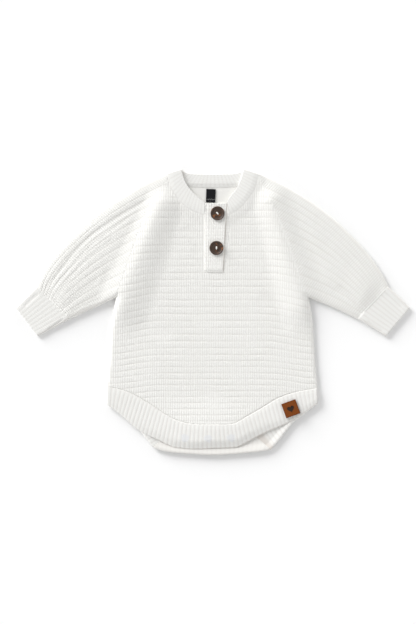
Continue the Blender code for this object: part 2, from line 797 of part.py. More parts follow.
def button(name, x, up, turn, material):
    """A round button with a raised rim, a hollowed face and two thread holes, on the placket."""
    face = BUTTON_HEIGHT - BUTTON_BEVEL
    profile = (
        (0, 0),
        (BUTTON_RADIUS - BUTTON_FOOT, 0),
        (BUTTON_RADIUS, BUTTON_FOOT),
        (BUTTON_RADIUS, face),
        (BUTTON_RADIUS - BUTTON_RIM / 2, BUTTON_HEIGHT),
        (BUTTON_RADIUS - BUTTON_RIM, BUTTON_HEIGHT),
        (BUTTON_RADIUS - 2 * BUTTON_RIM, face),
        (BUTTON_RADIUS / 2, face - BUTTON_DISH / 2),
        (0, face - BUTTON_DISH),
    )
    made = turned_solid(name, profile, BUTTON_SEGMENTS, material)
    share = (x + BUTTON_RADIUS - OVERLAP["left"][0]) / (OVERLAP["right"][0] - OVERLAP["left"][0])
    rest = overlap_low(share) + OVERLAP_WALL + OVERLAP_RIDGE + SEAM
    place(made, x, up, rest, turn)
    for side in (-1, 1):
        bpy.ops.mesh.primitive_cylinder_add(
            vertices=8, radius=BUTTON_HOLE * METRES, depth=4 * BUTTON_HEIGHT * METRES
        )
        cutter = bpy.context.object
        cutter.name = f"{name}_hole_cutter"
        cutter.parent = made
        cutter.location = (side * BUTTON_HOLE_OFFSET * METRES, 0, 0)
        cutter.hide_render = True
        cut = made.modifiers.new("thread_hole", "BOOLEAN")
        cut.operation = "DIFFERENCE"
        cut.object = cutter
    return made


def snap(name, x, up, material):
    """A fastened snap: socket and stud between the two crotch bands."""
    floor = CROTCH_THICKNESS + SEAM
    height = leg_band_low(x, up) - SEAM - floor
    profile = (
        (0, 0),
        (SNAP_RADIUS - SNAP_BEVEL, 0),
        (SNAP_RADIUS, SNAP_BEVEL),
        (SNAP_RADIUS, 0.4 * height),
        (SNAP_NECK, 0.45 * height),
        (SNAP_NECK, 0.6 * height),
        (SNAP_RADIUS, 0.65 * height),
        (SNAP_RADIUS, height - SNAP_BEVEL),
        (SNAP_RADIUS - SNAP_BEVEL, height),
        (0, height),
    )
    place(turned_solid(name, profile, SNAP_SEGMENTS, material), x, up, floor)


def tag(name, size, centre, turn, low, thickness, cells, material):
    """A small flat piece laid on the cloth, following low, the height of the cloth under it."""
    x, up = np.meshgrid(np.linspace(-0.5, 0.5, cells + 1), np.linspace(-0.5, 0.5, cells + 1), indexing="ij")
    angle = np.radians(turn)
    x, up = x * size[0], up * size[1]
    plane = np.stack(
        [
            centre[0] + x * np.cos(angle) - up * np.sin(angle),
            centre[1] + x * np.sin(angle) + up * np.cos(angle),
        ],
        axis=2,
    )
    height = low(plane[..., 0], plane[..., 1])
    return wall(name, with_height(plane, height + thickness), with_height(plane, height), material)


def build():
    for old in list(bpy.data.objects):
        bpy.data.objects.remove(old)
    knit = colour_of("cotton_knit", KNIT, 0.9)
    ribbed = colour_of("rib_knit", KNIT, 0.9)
    coconut = colour_of("coconut_shell", COCONUT, 0.5)
    metal = colour_of("snap_metal", SNAP, 0.35, metallic=1)
    front_panel(knit)
    back_panel(knit)
    for side in ("left", "right"):
        sleeve(side, knit)
        cuff(side, ribbed)
    neckband(ribbed)
    front_leg_band(ribbed)
    back_band("back_leg_band_left", BACK_LEG_LEFT, BACK_LEG_RIBS, BACK_LEG_THICKNESS, ribbed)
    back_band("back_leg_band_right", BACK_LEG_RIGHT, BACK_LEG_RIBS, BACK_LEG_THICKNESS, ribbed)
    back_band("back_crotch_band", CROTCH_BAND, CROTCH_RIBS, CROTCH_THICKNESS, ribbed)
    placket(knit)
    for name, (x, up, turn) in BUTTONS.items():
        button(name, x, up, turn, coconut)
    for name, (x, up) in SNAPS.items():
        snap(name, x, up, metal)
    tag(
        "leather_patch",
        (PATCH_SIDE, PATCH_SIDE),
        PATCH_PLACE,
        PATCH_TURN,
        lambda x, up: leg_band_low(x, up) + BAND_WALL + RIB + SEAM,
        PATCH_THICKNESS,
        6,
        colour_of("leather", LEATHER, 0.6),
    )
    tag(
        "neck_label",
        LABEL_SIZE,
        LABEL_PLACE,
        LABEL_TURN,
        lambda x, up: BACK_TOP + SEAM + 0 * x,
        LABEL_THICKNESS,
        2,
        colour_of("woven_label", LABEL, 0.7),
    )


build()
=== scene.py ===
# %% [markdown]
# # A baby's bubble romper, knitted in chunky white cotton
# The romper lies flat on its back. Its solids are loaded first and stay where they are: they say how big
# each piece is and what it lies on. Every knitted piece is then made again as a thin closed shell on its
# solid's form, with its ridges, ribs and stitches in the mesh, and the trims are modelled one by one.

import bpy
import numpy as np
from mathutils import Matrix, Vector


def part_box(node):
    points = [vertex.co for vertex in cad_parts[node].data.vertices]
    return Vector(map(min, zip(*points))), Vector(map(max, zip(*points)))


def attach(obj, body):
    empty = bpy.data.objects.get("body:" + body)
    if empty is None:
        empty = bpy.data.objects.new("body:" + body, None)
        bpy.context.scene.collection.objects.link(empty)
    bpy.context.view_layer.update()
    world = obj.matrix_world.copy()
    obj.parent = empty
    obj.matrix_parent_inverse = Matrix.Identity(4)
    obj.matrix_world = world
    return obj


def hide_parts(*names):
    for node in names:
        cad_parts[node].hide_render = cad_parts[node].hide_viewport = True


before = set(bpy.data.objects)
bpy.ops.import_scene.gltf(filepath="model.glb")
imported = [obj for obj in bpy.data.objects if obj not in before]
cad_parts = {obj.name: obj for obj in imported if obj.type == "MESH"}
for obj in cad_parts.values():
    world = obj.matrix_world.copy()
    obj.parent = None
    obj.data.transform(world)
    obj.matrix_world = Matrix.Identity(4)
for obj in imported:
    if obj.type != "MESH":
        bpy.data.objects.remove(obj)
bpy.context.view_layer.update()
bpy.ops.object.select_all(action="DESELECT")

# %% [markdown]
# ## Sizes
# Everything below is worked out in millimetres and turned into Blender's metres in one place. The heights
# of the layers are read from the solids, so the shells lie in the same space: the back layer on the
# surface, the front layer on the back one, and the placket and the bands on top.

# %% Sizes that the layers share
MM = 0.001


def span(solid, axis):
    """Lowest and highest place of a solid along an axis, in millimetres."""
    low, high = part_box(solid)
    return low[axis] / MM, high[axis] / MM


def middle(solid):
    """Middle of a solid as seen from above, in millimetres."""
    return [sum(span(solid, axis)) / 2 for axis in (0, 1)]


BACK_TOP = span("back_panel", 2)[1]
FRONT_LOW = span("front_panel", 2)[0]
MIDDLE = (BACK_TOP + FRONT_LOW) / 2  # height of a folded edge
SEAM = -0.6  # two pieces run into each other by this much where a seam links them
WALL, BAND_WALL = 2.0, 2.3  # thickness of the body's cloth under its ridges, and of a band's
RIDGE, RIB = 0.8, 0.24  # height of a knit ridge, and of a rib
FLATTENED = 0.6  # share of a ridge's height that is left where it is pressed on the surface
EDGE_ROLL, EDGE_FALL = 6.0, 1.4  # width over which a folded edge rounds off, and how far it falls
BACK_ROLL, BACK_FALL = 4.0, 0.9  # the same for the edges of the back layer
BAND_ROLL = 3.0  # and for its bands, which fall as far
SIDES = {"left": -1, "right": 1}  # the sign of x on each side
EDGE_MARGIN = 4.5  # width of a flattened tube's rounded edge
print("Back layer up to", round(BACK_TOP, 2), "mm, front layer from", round(FRONT_LOW, 2), "mm")

# %% [markdown]
# ## The outline
# A knitter's chart gives the width of each piece at a few heights. These tables do the same: `up` is the
# place along the body, `left` and `right` are distances from its middle line. A smooth curve runs through
# each column. A band has rib lines instead: where a rib leaves the seam and where it ends.

# %% Outline of the body


def table(columns, *rows):
    """Rows of numbers under named columns."""
    return dict(zip(columns.split(), np.array(rows, float).T))


RAGLAN = table(
    "up left right",
    (171.5, 58.6, 60.6),
    (158.0, 71.0, 68.5),
    (136.0, 83.0, 79.6),
    (89.4, 101.8, 98.5),
    (43.0, 117.5, 113.4),
    (18.0, 125.9, 124.5),
)
SIDE = table(
    "up left right",
    (18.0, 125.9, 124.5),
    (-9.0, 129.9, 128.8),
    (-62.7, 133.6, 132.2),
    (-97.0, 137.4, 135.4),
)
print("The body is", SIDE["left"][-1] + SIDE["right"][-1], "mm wide at the hem")

# %% Outline of the sleeves
SLEEVE_TOP = table(
    "up left right",
    (180.4, 59.6, 60.8),
    (160.2, 100.2, 100.9),
    (131.0, 146.6, 144.7),
    (98.9, 183.8, 180.2),
    (69.2, 211.6, 206.4),
    (46.9, 224.6, 221.3),
    (32.2, 229.2, 228.9),
)
SLEEVE_UNDER = table(
    "up left right",
    (18.0, 126.9, 125.5),
    (3.3, 157.8, 162.0),
    (-9.8, 186.9, 189.2),
)
CUFF_END = table(
    "up left right",
    (5.2, 256.2, 256.4),
    (-32.0, 227.4, 224.8),
)
print("The cuffs' outer corners are", round(CUFF_END["left"][0] + CUFF_END["right"][0], 1), "mm apart")

# %% Slot and neckline
# Right side of the slot that the placket closes
SLOT = table(
    "up right",
    (125.6, 23.3),
    (114.0, 23.1),
    (80.0, 19.8),
    (50.4, 16.5),
)
SLOT_LEFT = 11.0
SLOT_FOOT = 52.2
RIB_LINE = "seam_x seam_up free_x free_up"  # where a rib leaves the seam, and where it ends
SHOULDER_LEFT = (-58.6, 177.9, -40.6, 183.8)
SHOULDER_RIGHT = (59.6, 177.1, 40.0, 183.8)
NECK_FRONT_LEFT = table(
    RIB_LINE,
    (-10.3, 125.2, -10.1, 141.8),
    (-25.7, 131.0, -20.5, 149.9),
    (-35.2, 136.2, -27.0, 156.4),
    (-46.5, 147.2, -33.5, 164.8),
    (-54.3, 159.6, -38.0, 174.5),
    SHOULDER_LEFT,
)
NECK_BACK = table(
    RIB_LINE,
    SHOULDER_LEFT,
    (-50.8, 167.4, -33.5, 180.6),
    (-34.8, 162.2, -21.8, 178.9),
    (-0.4, 160.9, -0.4, 178.7),
    (32.8, 162.2, 22.4, 178.9),
    (50.8, 167.4, 33.5, 180.6),
    SHOULDER_RIGHT,
)
NECK_FRONT_RIGHT = table(
    RIB_LINE,
    SHOULDER_RIGHT,
    (54.8, 160.0, 36.0, 171.5),
    (45.8, 146.6, 28.9, 157.7),
    (37.2, 136.2, 23.0, 150.5),
    (23.4, 126.4, 18.1, 143.0),
)
BACK_NECK = 162.6  # height at which the back's neckline is lowest
print("The neck opens", NECK_BACK["free_x"][-1] - NECK_BACK["free_x"][0], "mm wide")

# %% Leg and crotch
LEG_BAND = table(
    RIB_LINE,
    (-137.4, -97.5, -136.9, -121.2),
    (-115.4, -102.6, -122.6, -131.6),
    (-81.6, -120.5, -92.7, -156.3),
    (-62.8, -132.9, -70.6, -166.7),
    (-42.6, -142.6, -47.2, -176.4),
    (-21.8, -146.2, -23.8, -178.4),
    (-1.0, -146.8, -1.0, -177.3),
    (23.7, -146.1, 27.6, -176.2),
    (44.5, -136.2, 52.3, -164.7),
    (64.0, -125.1, 71.8, -155.0),
    (85.2, -112.5, 93.9, -145.9),
    (111.2, -103.9, 117.3, -132.3),
    (135.4, -99.5, 136.1, -119.0),
)
CROTCH_BAND = table(
    RIB_LINE,
    (-75.5, -174.1, -76.6, -176.8),
    (-66.3, -167.4, -67.3, -179.9),
    (-57.0, -161.0, -57.0, -182.2),
    (-46.0, -156.2, -44.8, -183.5),
    (-29.6, -154.3, -27.0, -184.9),
    (-1.0, -153.7, -1.0, -186.2),
    (27.6, -154.3, 25.0, -184.9),
    (46.0, -156.6, 41.8, -183.4),
    (57.0, -162.9, 53.5, -182.3),
    (65.0, -169.9, 62.6, -181.2),
    (73.4, -177.2, 72.2, -179.8),
)
BACK_LEG_LEFT = table(
    RIB_LINE,
    (-137.4, -97.5, -136.9, -121.2),
    (-110.2, -108.2, -121.9, -131.6),
    (-88.1, -121.2, -106.3, -145.9),
    (-71.2, -139.4, -92.4, -157.6),
    (-62.0, -151.0, -84.9, -167.4),
    (-53.2, -158.8, -77.6, -176.1),
)
BACK_LEG_RIGHT = table(
    RIB_LINE,
    (135.4, -99.5, 136.1, -119.0),
    (108.2, -109.5, 119.9, -132.0),
    (87.4, -119.9, 103.6, -145.0),
    (71.8, -136.8, 89.6, -162.4),
    (61.4, -149.8, 79.8, -174.2),
    (51.5, -159.0, 74.9, -179.3),
)
BACK_HEM = -154.2
print("The leg band is stated at", len(LEG_BAND["seam_x"]), "rib lines")

# %% Placket, ridges and droop
OVERLAP = table(
    "up left right",
    (141.0, -10.7, 18.6),
    (135.6, -10.7, 18.3),
    (99.8, -10.7, 15.9),
    (51.0, -10.7, 13.3),
)
UNDERLAP = table(
    "up left right",
    (140.4, -6.0, 19.2),
    (125.6, -6.0, 23.2),
    (114.0, -6.0, 23.1),
    (80.0, -6.0, 19.8),
    (51.0, -6.0, 16.5),
)
# Ridges of the body, counted up from the hem: grooves lie at whole counts.
RIDGES = table(
    "up count",
    (-147.4, -0.7),
    (-142.0, 0),
    (-56.2, 11),
    (50.4, 23),
    (140.1, 33),
    (177.3, 37.5),
    (179.1, 37.7),
)
# How far a ridge hangs down where it reaches the side
DROOP = table(
    "up drop",
    (-150.0, 0.0),
    (-110.0, 5.0),
    (-60.0, 7.0),
    (15.0, 10.0),
    (90.0, 5.0),
    (165.0, 1.0),
)
DROOP_FROM_TO = (70.0, 132.0)
print("The body is", round(RIDGES["count"][-1] - RIDGES["count"][0], 1), "ridges high")

# %% [markdown]
# ## Curves and grids
# A piece of knitting is a grid already, of courses and columns, so its mesh is built as that grid. A few
# helpers read the tables as smooth curves, spread points evenly along them, and fill a four-sided patch.

# %% Curves through the tables
FINE = 400  # points in which the length of a curve is measured


def smooth(at, knots, values):
    """Monotone cubic through the knots, so that an edge has no bumps between them."""
    if knots[0] > knots[-1]:
        knots, values = knots[::-1], values[::-1]
    step = np.diff(knots)
    slope = np.diff(values) / step
    lean = np.r_[slope[0], np.zeros(len(slope) - 1), slope[-1]]
    for i in range(1, len(slope)):
        if slope[i - 1] * slope[i] > 0:
            before = 2 * step[i] + step[i - 1]
            after = step[i] + 2 * step[i - 1]
            lean[i] = (before + after) / (before / slope[i - 1] + after / slope[i])
    at = np.clip(at, knots[0], knots[-1])
    i = np.clip(np.searchsorted(knots, at) - 1, 0, len(step) - 1)
    t = (at - knots[i]) / step[i]
    h = step[i]
    return (
        values[i] * (1 + 2 * t) * (1 - t) ** 2
        + lean[i] * h * t * (1 - t) ** 2
        + values[i + 1] * t * t * (3 - 2 * t)
        + lean[i + 1] * h * t * t * (t - 1)
    )


def curve(at, knots, points):
    """Plane points of a smooth curve at these places, where knots are the places of the given points."""
    return np.column_stack([smooth(at, knots, points[:, k]) for k in (0, 1)])


def lengths(points):
    """Length of a line of plane points from its start to each of them."""
    return np.r_[0, np.cumsum(np.hypot(*np.diff(points, axis=0).T))]


def even(points, shares):
    """Points at these shares of the length of a smooth curve through the given points."""
    points = np.array(points, float)
    along = lengths(points)
    dense = curve(np.linspace(0, along[-1], FINE), along, points)
    length = lengths(dense)
    return np.column_stack([np.interp(shares * length[-1], length, dense[:, k]) for k in (0, 1)])


def patch(foot, head, start, end, shares_u, shares_v):
    """Grid of plane points between four curves. u runs from foot to head and v from start to end."""
    foot, head = even(foot, shares_v), even(head, shares_v)
    start, end = even(start, shares_u), even(end, shares_u)
    u, v = shares_u[:, None, None], shares_v[None, :, None]
    corners = (
        (1 - u) * (1 - v) * foot[0] + (1 - u) * v * foot[-1] + u * (1 - v) * head[0] + u * v * head[-1]
    )
    return (1 - u) * foot + u * head + (1 - v) * start[:, None] + v * end[:, None] - corners


def rounded(distance, width, depth):
    """How far a face falls at this distance from an edge that rounds off."""
    t = 1 - np.clip(distance / width, 0, 1)
    return depth * (1 - np.sqrt(1 - t * t))


def soft_step(value, low, high):
    """0 below low, 1 above high, and an even slope from the one to the other."""
    t = np.clip((value - low) / (high - low), 0, 1)
    return t * t * (3 - 2 * t)


hem_corners = np.column_stack([LEG_BAND["seam_x"], LEG_BAND["seam_up"]])
print("The hem is", round(lengths(hem_corners)[-1]), "mm long")

# %% [markdown]
# ## How the cloth stands up
# Cloth that lies flat is never quite flat. Two soft folds run down the front from the shoulders, where the
# raglan sleeves pull it. The snaps hold the leg band off the back, and each sleeve has some air in it.
# Each fold is one row: the line that it runs along, its height and width, and how it fades at its ends.

# %% Folds and air
# x and height of its top and its foot, how far it stands up, its widths left and right, and its fades
FOLDS = (
    (-67.0, 140.0, -119.0, 14.0, 4.7, 24.0, 32.0, 18.0, 26.0),
    (76.5, 142.0, 115.0, 14.0, 4.7, 27.0, 25.0, 18.0, 32.0),
)
FOLD_SPREAD = 0.4  # share by which a fold widens from its top to its foot
PIN_WIDTH = 14.0  # width over which the front layer comes down to a folded edge
SNAP_LIFT, SNAP_SPREAD, SNAP_MIDDLE = 2.3, 62.0, -3.0  # height that the snaps add, its spread, its middle
SNAP_LIFT_FROM_TO = (105.0, 150.0)  # where it begins and is full, down from the middle of the body
SLEEVE_PUFF = 1.6  # how far the air in a sleeve lifts it


def folds(x, up):
    """How far the front layer stands up along its soft folds."""
    total = np.zeros(np.broadcast(x, up).shape)
    for top_x, top_up, foot_x, foot_up, height, left_width, right_width, top_fade, foot_fade in FOLDS:
        run = np.array((foot_x - top_x, foot_up - top_up))
        length = np.hypot(*run)
        along = ((x - top_x) * run[0] + (up - top_up) * run[1]) / length
        aside = ((up - top_up) * run[0] - (x - top_x) * run[1]) / length
        width = np.where(aside < 0, left_width, right_width)
        width = width * (1 + FOLD_SPREAD * np.clip(along / length, 0, 1))
        beyond = np.maximum(-along / top_fade, (along - length) / foot_fade)
        total += height * (1 - soft_step(np.abs(aside) / width, 0, 1)) * np.exp(-np.maximum(beyond, 0) ** 2)
    return total


def pinned(distance):
    """Share of its height that the front layer has at this distance from a folded edge."""
    t = 1 - np.clip(distance / PIN_WIDTH, 0, 1)
    return np.sqrt(1 - t * t)


def hem_lift(x, up):
    """How far the snaps hold the front layer off the back one."""
    lift = SNAP_LIFT * np.exp(-(((x - SNAP_MIDDLE) / SNAP_SPREAD) ** 2))
    return lift * soft_step(-up, *SNAP_LIFT_FROM_TO)


lifted_by = hem_lift(SNAP_MIDDLE, LEG_BAND["seam_up"].min())
print("The snaps lift the middle of the hem by", round(float(lifted_by), 2), "mm")

# %% [markdown]
# ## Creases
# Handling and packing leave creases too: soft troughs, mostly along the ridges, each with its own length,
# depth and width. They are listed as three points each, and fade at both ends. The left sleeve has
# the most of them, and the cuffs the sharpest. The hidden sides have a few that are similar.

# %% Soft troughs
# x and height of its three points, how high it stands (or how deep it lies, below 0), and its width
CREASES = {
    "front": (
        (-96.0, -10.0, -80.0, -24.0, -52.0, -30.0, -0.35, 9.0),
        (58.0, 22.0, 84.0, 4.0, 100.0, -26.0, -0.35, 8.0),
        (-36.0, 112.0, -24.0, 96.0, -18.0, 70.0, -0.35, 6.0),
    ),
    "sleeve_left": (
        (-226.0, 28.0, -176.0, 93.0, -90.0, 156.0, 0.4, 6.0),
        (-218.0, 29.0, -163.3, 93.6, -80.0, 149.0, -0.4, 2.2),
        (-212.0, 24.0, -158.0, 86.0, -100.0, 128.0, -0.25, 1.8),
        (-207.0, 16.0, -164.0, 68.0, -122.0, 100.0, -0.2, 2.2),
        (-199.0, 0.0, -172.0, 24.0, -146.0, 44.0, -0.25, 3.0),
        (-188.0, -4.0, -160.0, 12.0, -140.0, 18.0, -0.25, 2.6),
    ),
    "sleeve_right": (
        (158.0, 34.0, 178.0, 16.0, 196.0, -6.0, -0.6, 4.0),
        (180.0, 74.0, 205.0, 50.0, 222.0, 24.0, -0.5, 3.6),
        (140.0, 96.0, 170.0, 66.0, 186.0, 40.0, -0.4, 6.0),
    ),
    "cuff_left": (
        (-216.0, -25.0, -205.0, -17.0, -193.0, -9.0, -0.9, 1.3),
        (-246.0, 6.0, -236.0, 16.0, -226.0, 24.0, -0.4, 2.4),
    ),
    "cuff_right": (
        (200.0, -12.0, 212.0, -20.0, 222.0, -27.0, -0.5, 1.8),
        (224.0, 24.0, 236.0, 14.0, 247.0, 4.0, -0.4, 2.4),
    ),
    "back": (
        (-92.0, 96.0, -84.0, 30.0, -96.0, -30.0, -0.9, 7.0),
        (84.0, 110.0, 70.0, 60.0, 78.0, 0.0, -0.8, 8.0),
        (-50.0, -60.0, -8.0, -72.0, 34.0, -62.0, -0.7, 6.0),
        (20.0, 118.0, 34.0, 92.0, 30.0, 60.0, -0.5, 5.0),
    ),
    "sleeve_left_under": (
        (-210.0, 18.0, -180.0, 62.0, -130.0, 104.0, -0.9, 4.0),
        (-182.0, 6.0, -160.0, 26.0, -140.0, 44.0, -0.6, 3.4),
    ),
    "sleeve_right_under": (
        (206.0, 24.0, 178.0, 60.0, 128.0, 110.0, -0.9, 4.2),
        (176.0, 2.0, 158.0, 22.0, 132.0, 36.0, -0.5, 3.4),
    ),
}
CREASE_END = 0.12  # how soon a crease fades in from its ends
CREASE_POINTS = 17  # points along a crease's curve
print("Creases by hand:", {place: len(rows) for place, rows in CREASES.items()})

# %% Height of a crease


def near(x, up, line):
    """Distance from each point to a line of plane points, and the share of the line that lies beside it."""
    best, share = np.full(np.shape(x), np.inf), np.zeros(np.shape(x))
    runs, starts = np.diff(line, axis=0), lengths(line)
    for a, run, start, step in zip(line, runs, starts, np.hypot(*runs.T)):
        t = np.clip(((x - a[0]) * run[0] + (up - a[1]) * run[1]) / step**2, 0, 1)
        away = np.hypot(x - a[0] - t * run[0], up - a[1] - t * run[1])
        share = np.where(away < best, (start + t * step) / starts[-1], share)
        best = np.minimum(away, best)
    return best, share


def creases(place, x, up):
    """Height that a place's creases add to the cloth."""
    total = np.zeros(np.shape(x))
    for x1, up1, x2, up2, x3, up3, height, width in CREASES[place]:
        line = even([(x1, up1), (x2, up2), (x3, up3)], np.linspace(0, 1, CREASE_POINTS))
        away, share = near(x, up, line)
        total += height * np.exp(-((away / width) ** 2)) * soft_step(share * (1 - share), 0, CREASE_END)
    return total


def uneven(x, up, size):
    """A slow wave over the cloth, from -1 to 1, which doesn't repeat within a piece."""
    across = np.sin(x / size + 1.3 * np.sin(up / (1.7 * size)))
    upward = np.sin(up / (0.8 * size) + 1.9 * np.sin(x / (2.3 * size)) + 2)
    return (across + upward) / 2


trough = creases("sleeve_left", np.array([-163.3]), 93.6)[0]
print("In the middle of the left sleeve's longest trough they come to", round(float(trough), 2), "mm")

# %% [markdown]
# ## The stitch
# The body and the sleeves are knitted in ridges. Each ridge is two rows of purl bumps, with a deep groove
# on either side and a shallow one in its middle, and the bumps stand in columns. One function gives that
# relief, from 0 in a groove to 1 on a crest, so all the pieces share one stitch. Three mesh columns to a
# stitch are the fewest that still show its rounded top and the narrow gap beside it.

# %% Relief of the ridge stitch
STITCH = 2.958  # width of a column of stitches
COLUMNS = 3  # mesh columns in a stitch
STEP = STITCH / COLUMNS
ROWS = 10  # mesh rows in a ridge
GROOVE_POWER = 0.5  # narrows the grooves
GROOVE = 0.5  # depth of the groove between ridges, as a share of a ridge's height
WEAR, WEAR_SIZE = 0.4, 9  # how much deeper or shallower a groove can get, and how slowly that changes
HALF_GROOVE, HALF_WIDTH = 0.1, 0.09  # depth and width of the groove in the middle of a ridge
STITCH_GAP = 0.78  # depth of the gap between columns
UNLIKE = 0.12  # how much one bump differs from the next
SCRAMBLE = (12.9898, 78.233, 43758.5453)  # fixed numbers that turn a bump's place into its share of that
SEAM_TAKES, SEAM_LEVEL = 2.8, 0.6  # width over which a seam takes up the relief, and the level it leaves


def taken_up(relief, distance):
    """The relief beside a seam, at this distance from it."""
    return SEAM_LEVEL + (relief - SEAM_LEVEL) * soft_step(distance, 0, SEAM_TAKES)


def ridge_relief(count, stitch, wear=0.0, groove=GROOVE):
    """Height of the knit at this ridge count and stitch count, from 0 to 1. wear varies its grooves."""
    ridge = 1 - groove * (1 + WEAR * wear) * (1 - np.abs(np.sin(np.pi * count)) ** GROOVE_POWER)
    half = 1 - HALF_GROOVE * np.exp(-(((count % 1 - 0.5) / HALF_WIDTH) ** 2))
    gap = 1 - STITCH_GAP * (1 - np.abs(np.sin(np.pi * stitch)))
    own = np.sin(SCRAMBLE[0] * np.floor(stitch) + SCRAMBLE[1] * np.floor(2 * count)) * SCRAMBLE[2]
    return ridge * half * gap * (1 - UNLIKE * (own % 1))


print("Relief on a crest and in the groove beside it:", ridge_relief(np.array([0.3, 0.0]), 0.5).round(2))

# %% [markdown]
# ## A shell of knitting
# The courses of a piece have different lengths, because its outline cuts them. So a row of the mesh is a
# course: whole columns, and one more point at each end, right on the outline. Neighbouring rows share most
# of their columns, which gives four-sided cells, and a cell at the outline takes what is left. The inside
# of the wall shows nowhere, so it has far fewer columns. Its points lie under some of the outer ones, and
# the rim joins the two.

# %% Faces between rows of columns
END_ROOM = 0.3  # least distance between a whole column and the end of its row, in columns


def columns_between(low, high, step):
    """A row's columns: its left end, the whole columns in between, and its right end."""
    first = int(np.ceil((low + END_ROOM) / step)) * step
    last = int(np.floor((high - END_ROOM) / step)) * step
    return [low, *range(first, last + 1, step), high]


def cells(a, b, step):
    """The cells between two rows, each as the columns on the one row and on the other."""
    if len(a) < 3 or len(b) < 3 or max(a[1], b[1]) > min(a[-2], b[-2]):
        return [(a, b)]
    low, high = max(a[1], b[1]), min(a[-2], b[-2])
    i, j, n = a.index(low), b.index(low), (high - low) // step
    inner = [(a[i + k : i + k + 2], b[j + k : j + k + 2]) for k in range(n)]
    return [(a[: i + 1], b[: j + 1]), *inner, (a[i + n :], b[j + n :])]


def grid_faces(parts, step, index):
    """Faces of all the parts. A part is a list of rows, and a row is its number and its two ends."""
    faces = []
    for part in parts:
        rows = [(number, columns_between(low, high, step)) for number, low, high in part]
        for (p, a), (q, b) in zip(rows, rows[1:]):
            for first, second in cells(a, b, step):
                one = [index.setdefault((p, round(c, 4)), len(index)) for c in first]
                other = [index.setdefault((q, round(c, 4)), len(index)) for c in second]
                faces.append(one + other[::-1])
    return faces


def rim_faces(faces, partner):
    """Faces that join the open edges of the outer faces to the inner points under them."""
    edges = {(a, b) for face in faces for a, b in zip(face, face[1:] + face[:1])}
    after = {a: b for a, b in edges if (b, a) not in edges}
    rim = []
    for start in after:
        if start not in partner:
            continue
        run = [start, after[start]]
        while run[-1] not in partner:
            run.append(after[run[-1]])
        rim.append(run[::-1] + [partner[start], partner[run[-1]]])
    return rim


print("A short row has its columns at", columns_between(0.4, 5.2, 1))

# %% Closed meshes


def select_only(made):
    bpy.ops.object.select_all(action="DESELECT")
    made.select_set(True)
    bpy.context.view_layer.objects.active = made


def closed_mesh(name, points, faces):
    """A new closed mesh from points in millimetres, with its faces turned outwards. It stays selected."""
    mesh = bpy.data.meshes.new(name)
    mesh.from_pydata((np.asarray(points) * MM).tolist(), [], faces)
    made = bpy.data.objects.new(name, mesh)
    bpy.context.scene.collection.objects.link(made)
    select_only(made)
    bpy.ops.object.mode_set(mode="EDIT")
    bpy.ops.mesh.select_all(action="SELECT")
    bpy.ops.mesh.normals_make_consistent(inside=False)
    bpy.ops.object.mode_set(mode="OBJECT")
    return made


def add_value(made, name, values):
    """Give each point of a mesh a number, for its material."""
    made.data.attributes.new(name, "FLOAT", "POINT").data.foreach_set("value", np.asarray(values, float))


def add_mesh(name, points, faces, rim, uv, relief, material, solid):
    """A closed piece of cloth, which stands for a solid and rides with it.

    The rim's faces stay flat, so that they don't bend the shading of the cloth beside a seam."""
    made = closed_mesh(name, points, faces + rim)
    mesh = made.data
    mesh.polygons.foreach_set("use_smooth", [True] * len(faces) + [False] * len(rim))
    corners = np.empty(len(mesh.loops), int)
    mesh.loops.foreach_get("vertex_index", corners)
    mesh.uv_layers.new(name="stitches").data.foreach_set("uv", np.asarray(uv, float)[corners].ravel())
    add_value(made, "relief", relief)
    mesh.materials.append(material)
    made.select_set(False)
    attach(made, "root")
    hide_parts(solid)
    triangles = sum(len(face) - 2 for face in faces + rim)
    high = np.max(points, axis=0)
    print(f"{name}: {triangles} triangles, reaches x {high[0]:.1f}, y {high[1]:.1f}, z {high[2]:.1f} mm")
    return made


def knit_shell(name, parts, outer, inner, coarse, material, solid):
    """A closed shell of knitting, whose inside has one column for this coarse number of outer ones.

    outer and inner turn row numbers and columns into points, and outer gives UV and relief too."""
    top, under = {}, {}
    faces = grid_faces(parts, 1, top)
    low_faces = grid_faces(parts, coarse, under)
    row, column = np.array(list(top)).T
    points, uv, relief = outer(row.astype(int), column)
    low_row, low_column = np.array(list(under)).T
    low_points = inner(low_row.astype(int), low_column)
    offset = len(top)
    partner = {top[key]: offset + place for key, place in under.items()}
    rim = rim_faces(faces, partner)
    faces += [[offset + k for k in face[::-1]] for face in low_faces]
    uv = np.concatenate([uv, np.column_stack([low_column / COLUMNS, 0 * low_column])])
    relief = np.concatenate([relief, np.full(len(under), 0.5)])
    add_mesh(name, np.concatenate([points, low_points]), faces, rim, uv, relief, material, solid)


# %% [markdown]
# ## Cotton yarn
# The yarn is soft, matt and just off white. Down in the grooves its colour is painted a little duller and
# warmer, as painted shade where the knit shadows itself, and it drifts very slightly over the cloth, as
# undyed cotton does. Folds, gaps and overhung edges get a warm painted shade as well. The bump has two parts:
# the twist of the yarn, which follows the stitches through the UV map, and short fibres that stand off it in
# every direction.

# %% Building a material


def new_material(name, roughness, metallic=0.0, **constants):
    """A material for a finish, and its Principled shader."""
    material = bpy.data.materials.new(name)
    material["slot"] = name
    material.use_nodes = True
    shader = material.node_tree.nodes["Principled BSDF"]
    shader.inputs["Roughness"].default_value = roughness
    shader.inputs["Metallic"].default_value = metallic
    for socket, value in constants.items():
        shader.inputs[socket.replace("_", " ")].default_value = value
    return material, shader


def node(material, kind, inputs=None, **settings):
    """Adds a node, sets it up, and links or sets its inputs."""
    made = material.node_tree.nodes.new(kind)
    for key, value in settings.items():
        setattr(made, key, value)
    for key, value in (inputs or {}).items():
        if isinstance(value, bpy.types.NodeSocket):
            material.node_tree.links.new(value, made.inputs[key])
        else:
            made.inputs[key].default_value = value
    return made


